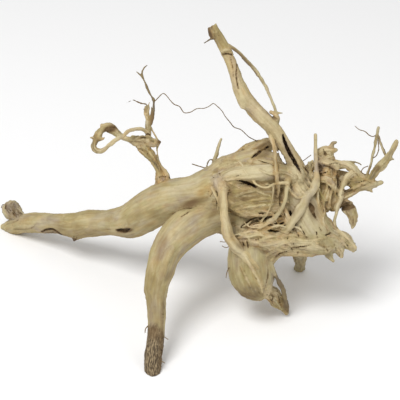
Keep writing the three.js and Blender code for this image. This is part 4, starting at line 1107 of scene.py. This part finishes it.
LIMB_APART = 37.7
FLUTE_WIDTH = (0.6, 1.2)
FLUTE_WAVES = ((4.5, 1), (1.9, 2))
FURROW_BEND = 0.5
GROOVE_WIDTH = 0.24
PLACE_WAVES = {
    "patch": (19.0, 4),
    "lump": (6.0, 6),
    "crumb": (2.0, 7),
    "cloud": (15.0, 12),
    "blotch": (6.5, 15),
    "bend": (7.0, 16),
    "pitted": (24.0, 19),
    "speck": (2.6, 22),
    "mottle": (4.5, 24),
    "hue": (5.5, 25),
}
GRAIN_WAVES = {
    "furrow": (24.0, 2.6, 3),
    "fibre": (10.0, 1.5, 5),
    "crust": (6.0, 1.6, 8),
    "drift": (14.0, 4.0, 13),
    "streak": (11.0, 2.2, 14),
    "knot": (6.0, 5.0, 17),
    "pit": (4.5, 2.2, 18),
    "blush": (19.0, 7.0, 20),
}
RELIEF = {
    "flute": 0.045,
    "gnarl": 0.12,
    "lump": 0.55,
    "pit": 0.9,
    "knot": 0.45,
    "fibre": 0.12,
    "rough fibre": 0.28,
    "crust": 0.8,
    "bark sink": 0.2,
}


def weather(points, quads, owner, thickness):
    """Moves the skin's corners along their normals as grain and weather have shaped it, in millimetres, and
    works out its colours. Waves across the whole skin are given by their length, and lengthwise waves,
    which follow the root that a corner belongs to, by their length and width: broad flutes as wide as the
    root, furrows 3 mm apart, fibres 1.5 mm apart, and rough bark where bark is left. Rough wood also has
    knots, sunk pits and deeper furrows. Shade is painted on the wood's underside, which is made darker and
    more ochre, and in its grooves, pits and crevices, and convex edges get a painted highlight."""
    away = points - spine[owner]
    radius = spine_radius[owner]
    ways = (spine_tangent, spine_first, spine_second)
    own = np.stack([np.sum(away * way[owner], axis=1) for way in ways], axis=1)
    own[:, 0] += spine_along[owner]
    own[:, 0] += spine_limb[owner] * LIMB_APART
    normal = skin_normals(points, quads)
    view = seen_from_front(points)
    bark = stain(view, "bark")
    width = np.maximum(radius * FLUTE_WIDTH[0], FLUTE_WIDTH[1])[:, None]
    flute, gnarl = (ripple(own / (width * (length, 1, 1)), seed) for length, seed in FLUTE_WAVES)
    wave = {name: ripple(points / length, seed) for name, (length, seed) in PLACE_WAVES.items()}
    for name, (length, wide, seed) in GRAIN_WAVES.items():
        bend = FURROW_BEND * wave["bend"][:, None] if name == "furrow" else 0
        wave[name] = ripple(own / np.array([length, wide, wide]) + bend, seed)
    groove = np.clip(1 - np.abs(wave["furrow"]) / GROOVE_WIDTH, 0, 1) ** 1.5
    groove *= np.clip(wave["patch"] * 1.6 + 0.6, 0, 1)
    knot = np.maximum(wave["knot"] - 0.15, 0)
    pit = np.clip(wave["pit"] * 2.2 - 0.75, 0, 1) * np.clip(wave["pitted"] * 2 + 0.3, 0, 1)
    crust = 0.8 * wave["crumb"] + 0.7 * wave["crust"]
    shade = even_out(spine_shade[owner], quads, 6)
    rough = shade[:, 4]
    stout = np.clip(radius / 6.0, 0.25, 1.0)
    shift = RELIEF["flute"] * np.minimum(radius, 12) * flute
    shift += RELIEF["gnarl"] * np.minimum(radius, 9) * gnarl * rough
    shift += rough * stout * (RELIEF["lump"] * wave["lump"] - groove - RELIEF["pit"] * pit)
    shift += rough * RELIEF["knot"] * np.minimum(radius, 5) * knot
    shift += np.clip(radius / 4, 0.2, 1) * (RELIEF["fibre"] + RELIEF["rough fibre"] * rough) * wave["fibre"]
    shift += bark * (RELIEF["crust"] * crust - RELIEF["bark sink"])
    shift = even_out(shift[:, None], quads, 1)[:, 0]
    moved = points + shift[:, None] * normal
    moved[:, 2] = np.maximum(moved[:, 2], 0)

    cloud, drift, streak, blotch, hue = (wave[n] for n in ("cloud", "drift", "streak", "blotch", "hue"))
    # Painted shade on the underside: wood that faces down is made darker in tone and more ochre.
    under = np.clip(-normal[:, 2] - 0.1, 0, 1)
    shade[:, 0] += 0.30 * drift + rough * (0.70 * blotch + 0.45 * hue) + 0.25 * under
    shade[:, 1] -= 0.30 * drift + rough * 0.25 * blotch
    shade[:, 2] += 0.20 * cloud + rough * 0.30 * streak
    shade[:, 3] += 0.35 * cloud + (0.20 + 0.55 * rough) * streak - 0.50 * under
    # Painted shade and painted light from the shaded and bright spots, together with the wood's own tone.
    shade[:, 3] += 0.5 * rough * wave["mottle"] + stain(view, "paler_tone_and_painted_light") - stain(view, "darker_tone_and_painted_shade")
    hollow = hollow_tone(view) * ~spine_over[owner][:, None]
    # Painted shade in crevices and a painted highlight on convex edges, from the blurred distance to the
    # skin; dark roots get no highlight.
    crevice_shade_and_edge_highlight = np.clip(-thickness / 2.0, -1, 1)
    crevice_shade_and_edge_highlight = np.where(crevice_shade_and_edge_highlight < 0, crevice_shade_and_edge_highlight * np.clip(1 + shade[:, 3], 0, 1), crevice_shade_and_edge_highlight)
    dark = np.maximum(hollow[:, 0], stain(view, "dark") * np.clip(0.75 + 0.5 * cloud, 0, 1))
    # Painted shade in the grooves and pits of rough wood.
    dark = np.maximum(dark, rough * stout * np.maximum(0.45 * groove, 0.5 * pit))
    dark = np.maximum(dark, 0.3 * np.clip(3 * wave["speck"] - 1.6, 0, 1))
    stripped = np.maximum(stain(view, "ochre"), (0.2 + 0.8 * rough) * hollow[:, 1])
    shade[:, 0] = np.maximum(shade[:, 0], stripped)
    shade[:, 1] = np.maximum(shade[:, 1], stain(view, "grey"))
    # The wear: rot and the painted shade of hollows, painted crevice shade and edge highlight, and bark.
    wear = even_out(np.stack([dark, crevice_shade_and_edge_highlight, bark], axis=1), quads, 1)
    tint = 0.715 * wave["blush"] + 0.7 * rough * hue + stain(view, "mauve") - stain(view, "olive")
    tone = np.stack([shade[:, 3], np.clip(tint, -1, 1), rough], axis=1)
    return moved, own, np.clip(shade[:, :3], 0, 1), wear, tone


def put_attributes(mesh, **layers):
    """Stores a vector at each corner of the mesh under the given names."""
    for name, values in layers.items():
        layer = mesh.attributes.new(name, "FLOAT_VECTOR", "POINT")
        layer.data.foreach_set("vector", np.ascontiguousarray(values, dtype=np.float32).ravel())


def slab_skin(name, left, right):
    """One slab of the skin: cells from left to right across the wood, capped where the next slab takes
    over. Past its edge it sinks, by the square of the way to its cap, so that the next slab's skin covers
    its rim."""
    low = np.array([left - SLAB_OVERLAP, solid_low[1], solid_low[2]]) - 3 * CELL
    high = np.array([right + SLAB_OVERLAP, solid_high[1], solid_high[2]]) + 3 * CELL
    low = np.floor(low / CELL) * CELL
    axes = [np.arange(a, b + CELL, CELL).astype(np.float32) for a, b in zip(low, high)]
    depth = np.full([len(axis) for axis in axes], NO_WOOD, np.float32)
    owner = np.zeros(depth.shape, np.int32)
    grow(depth, owner, False, low, axes)
    carve(depth, low, axes)
    grow(depth, owner, True, low, axes)
    np.clip(depth, -DEEPEST_KEPT, DEEPEST_KEPT, out=depth)
    blurred = box_blur(depth, round(CAVITY_REACH / CELL))
    ends = np.maximum(left - SLAB_OVERLAP - axes[0], axes[0] - right - SLAB_OVERLAP)[:, None, None]
    depth = np.maximum(depth + RIM_SINK * np.clip(1 + ends / SLAB_OVERLAP, 0, 1) ** 2, ends)
    depth = np.maximum(depth, -axes[2][None, None, :])
    grid = openvdb.FloatGrid(background=BAND)
    grid.copyFromArray(np.clip(depth, -BAND, BAND).astype(np.float32), tolerance=0)
    corners, quads = grid.convertToQuads(isovalue=0.0)
    cell = np.clip(np.rint(corners).astype(int), 0, np.array(depth.shape) - 1)
    spot = tuple(cell.T)
    points = low + corners * CELL
    quads = quads.astype(np.int64)
    a, b, c, d = (points[quads[:, i]] for i in range(4))
    volume = np.sum(np.einsum("ij,ij->i", a, np.cross(b, c)) + np.einsum("ij,ij->i", a, np.cross(c, d)))
    if volume < 0:
        quads = quads[:, ::-1].copy()
    moved, grain, shade, wear, tone = weather(points, quads, owner[spot], blurred[spot])
    mesh = bpy.data.meshes.new(name)
    mesh.from_pydata(moved * MM, [], quads)
    put_attributes(mesh, grain=grain * MM, shade=shade, wear=wear, tone=tone)
    mesh.polygons.foreach_set("use_smooth", np.ones(len(quads), bool))
    mesh.update()
    piece = bpy.data.objects.new(name, mesh)
    bpy.context.scene.collection.objects.link(piece)
    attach(piece, "root")
    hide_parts("spiderwood_root")
    return piece


solid_low, solid_high = (np.array(corner) / MM for corner in solid_box)
wood = [slab_skin(name, left, right) for name, (left, right) in SLABS.items()]

# The hair roots
# Roots as thin as thread, stiff and dry, that were too fine to break off with the washing.
HAIR_SIDES = 6
HAIR_STEP = 0.8
HAIR_SHADE = (0.25, 0.9, 0.0)
HAIR_WEAR = (0.5, 0.0, 0.0)
HAIRS = {
    "long hair": [
        [-46, 98, -8, 0.5], [-42, 102, -4, 0.5], [-36.5, 106.5, 0, 0.45], [-30, 100, 4, 0.45],
        [-26, 95.8, 6, 0.45], [-20.5, 93.5, 8, 0.45], [-16, 87.5, 10, 0.45], [-10, 87.7, 12, 0.45],
        [-3, 91.3, 14, 0.4], [4, 91.7, 16, 0.4], [9, 93.7, 18, 0.4], [13.3, 96.5, 19, 0.4],
        [17, 94, 20, 0.4], [22, 89, 18, 0.4], [25, 84, 16, 0.4], [30, 77.7, 12, 0.45], [34, 73, 8, 0.45],
        [41, 70.2, 4, 0.45], [49, 63, -2, 0.45], [56, 59.5, -7, 0.5], [62, 58, -11, 0.6]],
    "high hair": [
        [155, 74, 8, 0.4], [159, 70.5, 8, 0.45], [165, 68.5, 8, 0.5], [169, 65, 8, 0.5],
        [173, 63.5, 7, 0.5], [177, 65.5, 7, 0.6]],
    "loop hair": [
        [168, 34, 7, 0.5], [163, 31.5, 8, 0.5], [161.5, 28, 9, 0.5], [164, 26, 8, 0.5], [167, 25, 7, 0.6]],
    "crest hair": [
        [-8, 36, 0, 0.5], [0, 33.5, 4, 0.6], [7, 32, 8, 0.7], [16, 34, 8, 0.8], [22, 33, 8, 0.8]],
    "block hair": [[103, 39, 4, 0.4], [107, 42, 6, 0.4], [111, 45, 8, 0.4]],
    "arm tip hair": [
        [-199, -8, -168, 0.4], [-197, -4.5, -168, 0.5], [-195, -5, -168, 0.5], [-193, -7, -168, 0.6]],
    "leg whisker": [[-37, -136, 44, 0.5], [-34, -138, 46, 0.4], [-32, -139.5, 47, 0.35]],
    "low whisker": [[-40, -161, 46, 0.5], [-37, -162, 48, 0.4], [-35, -163, 48, 0.35]],
    "side whisker": [[-52, -126, 42, 0.6], [-54.5, -129, 43, 0.5], [-55, -133, 43, 0.4]],
    "arch hair": [[30, -40, 22, 0.5], [25, -42, 26, 0.4], [20, -41.5, 28, 0.35]],
    "lower arch hair": [[32, -45, 22, 0.5], [26, -47.5, 26, 0.4], [22, -46, 28, 0.35]],
    "bulb hair": [[30, -66, 6, 0.5], [27, -72, 10, 0.45], [26, -78, 12, 0.35]],
    "twig loop": [[178, 60, 7, 0.6], [178.6, 50, 9, 0.5], [176, 44, 8, 0.5], [173, 42, 7, 0.6]],
}


def thread(stations, seed):
    """A thread along its path: a ring of points at each path point, at its radius, and a point at each end.
    Returns its corners, its faces and its grain."""
    stations = np.array(stations, float)
    stations[:, :3] = stand(stations[:, :3])
    points, radius, along, tangent, first, second = trace(stations, HAIR_STEP, seed)
    turn = np.linspace(0, 2 * math.pi, HAIR_SIDES, endpoint=False)
    out = np.cos(turn)[None, :, None] * first[:, None] + np.sin(turn)[None, :, None] * second[:, None]
    rings = points[:, None] + radius[:, None, None] * out
    tips = points[[0, -1]] + np.array([[-LEAST_RADIUS], [LEAST_RADIUS]]) * tangent[[0, -1]]
    corners = np.concatenate([rings.reshape(-1, 3), tips])
    count = len(points)
    ring, side = np.meshgrid(np.arange(count - 1) * HAIR_SIDES, np.arange(HAIR_SIDES), indexing="ij")
    beside = (side + 1) % HAIR_SIDES
    walls = [ring + side, ring + beside, ring + HAIR_SIDES + beside, ring + HAIR_SIDES + side]
    walls = np.stack(walls, axis=-1).reshape(-1, 4)
    side, beside, last = side[0], beside[0], (count - 1) * HAIR_SIDES
    foot = np.stack([beside, side, np.full(HAIR_SIDES, count * HAIR_SIDES)], axis=1)
    tip = np.stack([last + side, last + beside, np.full(HAIR_SIDES, count * HAIR_SIDES + 1)], axis=1)
    grain = np.concatenate([np.repeat(along, HAIR_SIDES), along[[0, -1]]])
    return corners, walls.tolist() + foot.tolist() + tip.tolist(), grain


corners, faces, grains, total = [], [], [], 0
for seed, stations in enumerate(HAIRS.values()):
    more, walls, grain = thread(stations, seed)
    corners.append(more)
    faces += [[corner + total for corner in face] for face in walls]
    grains.append(grain)
    total += len(more)
corners, grains = np.concatenate(corners), np.concatenate(grains)
hair_mesh = bpy.data.meshes.new("hair_roots")
hair_mesh.from_pydata(corners * MM, [], faces)
put_attributes(
    hair_mesh,
    grain=np.stack([grains, 0 * grains, 0 * grains], axis=1) * MM,
    shade=np.tile(HAIR_SHADE, (total, 1)),
    wear=np.tile(HAIR_WEAR, (total, 1)),
    tone=np.zeros((total, 3)),
)
hair_mesh.polygons.foreach_set("use_smooth", np.ones(len(faces), bool))
hair_roots = bpy.data.objects.new("hair_roots", hair_mesh)
bpy.context.scene.collection.objects.link(hair_roots)
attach(hair_roots, "root")

# The finish of the bare wood
# Dry wood with no varnish: pale sapwood, greenish grey where it weathered, ochre where it was stripped, and
# dark brown where bark or rot is left. The fibres run along each root. Light is painted too: the dark
# streak, dusk, crevice and rot colours also serve as painted shade, and the light streak colour as painted
# highlight.
COLOURS = {
    "pale": (0.46, 0.385, 0.208),
    "ochre": (0.47, 0.265, 0.085),
    "grey": (0.35, 0.318, 0.190),
    "straw": (0.60, 0.480, 0.260),
    "mauve": (0.285, 0.232, 0.222),
    "olive": (0.335, 0.275, 0.092),
    "dusk": (0.125, 0.100, 0.070),
    "bark": (0.075, 0.052, 0.030),
    "bark fleck": (0.31, 0.235, 0.135),
    "rot_and_hollow_shade": (0.030, 0.021, 0.020),
    "dark streak": (0.255, 0.185, 0.080),
    "light streak": (0.62, 0.540, 0.345),
    "crevice": (0.160, 0.100, 0.044),
}


def wood_grain_group():
    """Streaks, fibres and specks that follow the grain, and mottling that doesn't: noise waves 24 mm long
    and 2.4 mm wide, 9 mm long and 0.5 mm wide, 3.3 mm long and 1 mm wide, and 14 mm each way."""
    tree = bpy.data.node_groups.new("wood_grain", "ShaderNodeTree")
    tree.interface.new_socket("Grain", in_out="INPUT", socket_type="NodeSocketVector")
    for name in ("Streaks", "Fibres", "Mottling", "Specks"):
        tree.interface.new_socket(name, in_out="OUTPUT", socket_type="NodeSocketFloat")
    nodes, links = tree.nodes, tree.links
    start, end = nodes.new("NodeGroupInput"), nodes.new("NodeGroupOutput")
    place = nodes.new("ShaderNodeTexCoord")
    for name, source, stretch, detail in (
        ("Streaks", start.outputs["Grain"], (42, 420, 420), 4.0),
        ("Fibres", start.outputs["Grain"], (110, 1900, 1900), 2.0),
        ("Mottling", place.outputs["Object"], (70, 70, 70), 4.0),
        ("Specks", start.outputs["Grain"], (300, 1000, 1000), 3.0),
    ):
        mapping = nodes.new("ShaderNodeMapping")
        mapping.inputs["Scale"].default_value = stretch
        noise = nodes.new("ShaderNodeTexNoise")
        noise.inputs["Scale"].default_value = 1.0
        noise.inputs["Detail"].default_value = detail
        links.new(source, mapping.inputs["Vector"])
        links.new(mapping.outputs["Vector"], noise.inputs["Vector"])
        links.new(noise.outputs["Fac"], end.inputs[name])
    return tree


def connect(tree, value, slot):
    """Links a node's output to a socket, or sets the socket to a colour or a number."""
    if isinstance(value, bpy.types.NodeSocket):
        tree.links.new(value, slot)
    else:
        slot.default_value = (*value, 1) if isinstance(value, tuple) else value


def mix_colours(tree, share, under, over):
    """A Mix node between two colours by a share."""
    node = tree.nodes.new("ShaderNodeMix")
    node.data_type = "RGBA"
    for number, value in ((0, share), (6, under), (7, over)):
        connect(tree, value, node.inputs[number])
    return node.outputs[2]


def ramp(tree, value, low, high, floor=0.0, top=1.0):
    """Maps a value from low..high to floor..top, clamped."""
    node = tree.nodes.new("ShaderNodeMapRange")
    tree.links.new(value, node.inputs["Value"])
    for name, number in (("From Min", low), ("From Max", high), ("To Min", floor), ("To Max", top)):
        node.inputs[name].default_value = number
    return node.outputs["Result"]


def calculate(tree, operation, a, b):
    """The sum, product or other result of two values."""
    node = tree.nodes.new("ShaderNodeMath")
    node.operation = operation
    connect(tree, a, node.inputs[0])
    connect(tree, b, node.inputs[1])
    return node.outputs[0]


def times(tree, a, b):
    """The product of two values."""
    return calculate(tree, "MULTIPLY", a, b)


def bare_wood_material():
    """Colours mixed by the skin's own shade, wear and tone, broken up by the grain. The wear holds rot,
    bark and painted shade in crevices and hollows, and the tone holds painted shade and highlight beside
    the wood's own lightness.
    """
    material = bpy.data.materials.new("bare_wood")
    material.use_nodes = True
    tree = material.node_tree
    shader = tree.nodes["Principled BSDF"]
    grain = tree.nodes.new("ShaderNodeAttribute")
    grain.attribute_name = "grain"
    own = {}
    for name, parts in (
        ("shade", ("ochre", "grey", "straw")),
        ("wear", ("rot_and_hollow_shade", "crevice_shade_and_edge_highlight", "bark")),
        ("tone", ("light", "tint", "rough")),
    ):
        attribute = tree.nodes.new("ShaderNodeAttribute")
        attribute.attribute_name = name
        separate = tree.nodes.new("ShaderNodeSeparateXYZ")
        tree.links.new(attribute.outputs["Vector"], separate.inputs[0])
        own.update(zip(parts, separate.outputs))
    texture = tree.nodes.new("ShaderNodeGroup")
    texture.node_tree = grain_group
    tree.links.new(grain.outputs["Vector"], texture.inputs["Grain"])
    streaks, fibres, mottling, specks = texture.outputs

    greyed = times(tree, own["grey"], ramp(tree, mottling, 0.3, 0.6, 0.5, 1.0))
    ochred = times(tree, own["ochre"], ramp(tree, streaks, 0.35, 0.6, 0.45, 1.0))
    tinted = times(tree, own["tint"], ramp(tree, mottling, 0.35, 0.6, 0.65, 1.0))
    streaky = ramp(tree, own["rough"], 0.2, 1.0, 0.35, 1.0)
    colour = mix_colours(tree, own["straw"], COLOURS["pale"], COLOURS["straw"])
    for share, name in (
        (greyed, "grey"),
        (ochred, "ochre"),
        (ramp(tree, tinted, 0.0, 1.0), "mauve"),
        (ramp(tree, tinted, 0.0, -1.0), "olive"),
        # The tone, lowered by painted shade and dark roots and raised by painted light and pale roots.
        (ramp(tree, own["light"], 0.0, -1.0, 0.0, 0.7), "dark streak"),
        (ramp(tree, own["light"], -0.8, -2.0, 0.0, 0.9), "dusk"),
        (ramp(tree, own["light"], 0.0, 1.0, 0.0, 0.55), "light streak"),
        (times(tree, streaky, ramp(tree, streaks, 0.50, 0.66, 0.0, 0.75)), "dark streak"),
        (times(tree, streaky, ramp(tree, streaks, 0.46, 0.32, 0.0, 0.55)), "light streak"),
        (ramp(tree, mottling, 0.5, 0.68, 0.0, 0.3), "dark streak"),
        # Painted highlight on convex edges, partly worn edges, and painted shade in crevices.
        (ramp(tree, own["crevice_shade_and_edge_highlight"], -0.1, -0.6, 0.0, 0.3), "light streak"),
        (ramp(tree, own["crevice_shade_and_edge_highlight"], 0.05, 0.6, 0.0, 0.85), "crevice"),
    ):
        colour = mix_colours(tree, share, colour, COLOURS[name])
    flaked = calculate(tree, "ADD", times(tree, specks, 0.55), times(tree, fibres, 0.45))
    bark_colour = mix_colours(tree, ramp(tree, flaked, 0.47, 0.57), COLOURS["bark"], COLOURS["bark fleck"])
    barked = ramp(tree, calculate(tree, "ADD", own["bark"], times(tree, mottling, 0.5)), 0.55, 0.85)
    colour = mix_colours(tree, barked, colour, bark_colour)
    # Rot and painted shade in hollows, grooves and pits: crevice brown at half strength, near black at
    # full.
    rotted = times(tree, own["rot_and_hollow_shade"], ramp(tree, streaks, 0.3, 0.6, 0.8, 1.0))
    colour = mix_colours(tree, ramp(tree, rotted, 0.0, 0.5), colour, COLOURS["crevice"])
    colour = mix_colours(tree, ramp(tree, rotted, 0.5, 1.0), colour, COLOURS["rot_and_hollow_shade"])
    tree.links.new(colour, shader.inputs["Base Color"])
    shader.inputs["Roughness"].default_value = 0.78
    shader.inputs["Specular IOR Level"].default_value = 0.25
    bump = tree.nodes.new("ShaderNodeBump")
    bump.inputs["Strength"].default_value = 0.6
    bump.inputs["Distance"].default_value = 0.0007
    height = calculate(tree, "ADD", times(tree, streaks, 0.6), times(tree, fibres, 0.5))
    tree.links.new(height, bump.inputs["Height"])
    tree.links.new(bump.outputs["Normal"], shader.inputs["Normal"])
    return material


grain_group = wood_grain_group()
bare_wood = bare_wood_material()
for piece in (*wood, hair_roots):
    piece.data.materials.append(bare_wood)

# The studio
# A plain pale floor, a broad soft light from the upper left and light from all round.
FLOOR_SIZE = 6.0
FLOOR_COLOUR = (0.93, 0.93, 0.93, 1)
FLOOR_ROUGHNESS = 0.9
WORLD_STRENGTH = 0.55
LIGHTS_AIM = (0.0, 0.0, 0.1)
LIGHTS = {
    "key": ((-0.7, -0.9, 2.1), 1.0, 38.0),
    "fill": ((1.5, -1.2, 1.3), 1.6, 6.0),
}
floor_mesh = bpy.data.meshes.new("floor")
edge = FLOOR_SIZE / 2
floor_corners = [(-edge, -edge, 0), (edge, -edge, 0), (edge, edge, 0), (-edge, edge, 0)]
floor_mesh.from_pydata(floor_corners, [], [(0, 1, 2, 3)])
floor = bpy.data.objects.new("floor", floor_mesh)
bpy.context.scene.collection.objects.link(floor)
floor_finish = bpy.data.materials.new("floor")
floor_finish.use_nodes = True
floor_finish.node_tree.nodes["Principled BSDF"].inputs["Base Color"].default_value = FLOOR_COLOUR
floor_finish.node_tree.nodes["Principled BSDF"].inputs["Roughness"].default_value = FLOOR_ROUGHNESS
floor_mesh.materials.append(floor_finish)

for name, (place, size, power) in LIGHTS.items():
    lamp = bpy.data.lights.new(name, "AREA")
    lamp.size = size
    lamp.energy = power
    light = bpy.data.objects.new(name, lamp)
    bpy.context.scene.collection.objects.link(light)
    light.location = place
    aim = np.array(LIGHTS_AIM) - np.array(place)
    light.rotation_euler = (
        math.acos(-aim[2] / np.linalg.norm(aim)),
        0.0,
        math.atan2(aim[1], aim[0]) - math.pi / 2,
    )

world = bpy.data.worlds.new("studio")
world.use_nodes = True
world.node_tree.nodes["Background"].inputs["Color"].default_value = (1, 1, 1, 1)
world.node_tree.nodes["Background"].inputs["Strength"].default_value = WORLD_STRENGTH
bpy.context.scene.world = world
bpy.context.scene.view_settings.view_transform = "Standard"
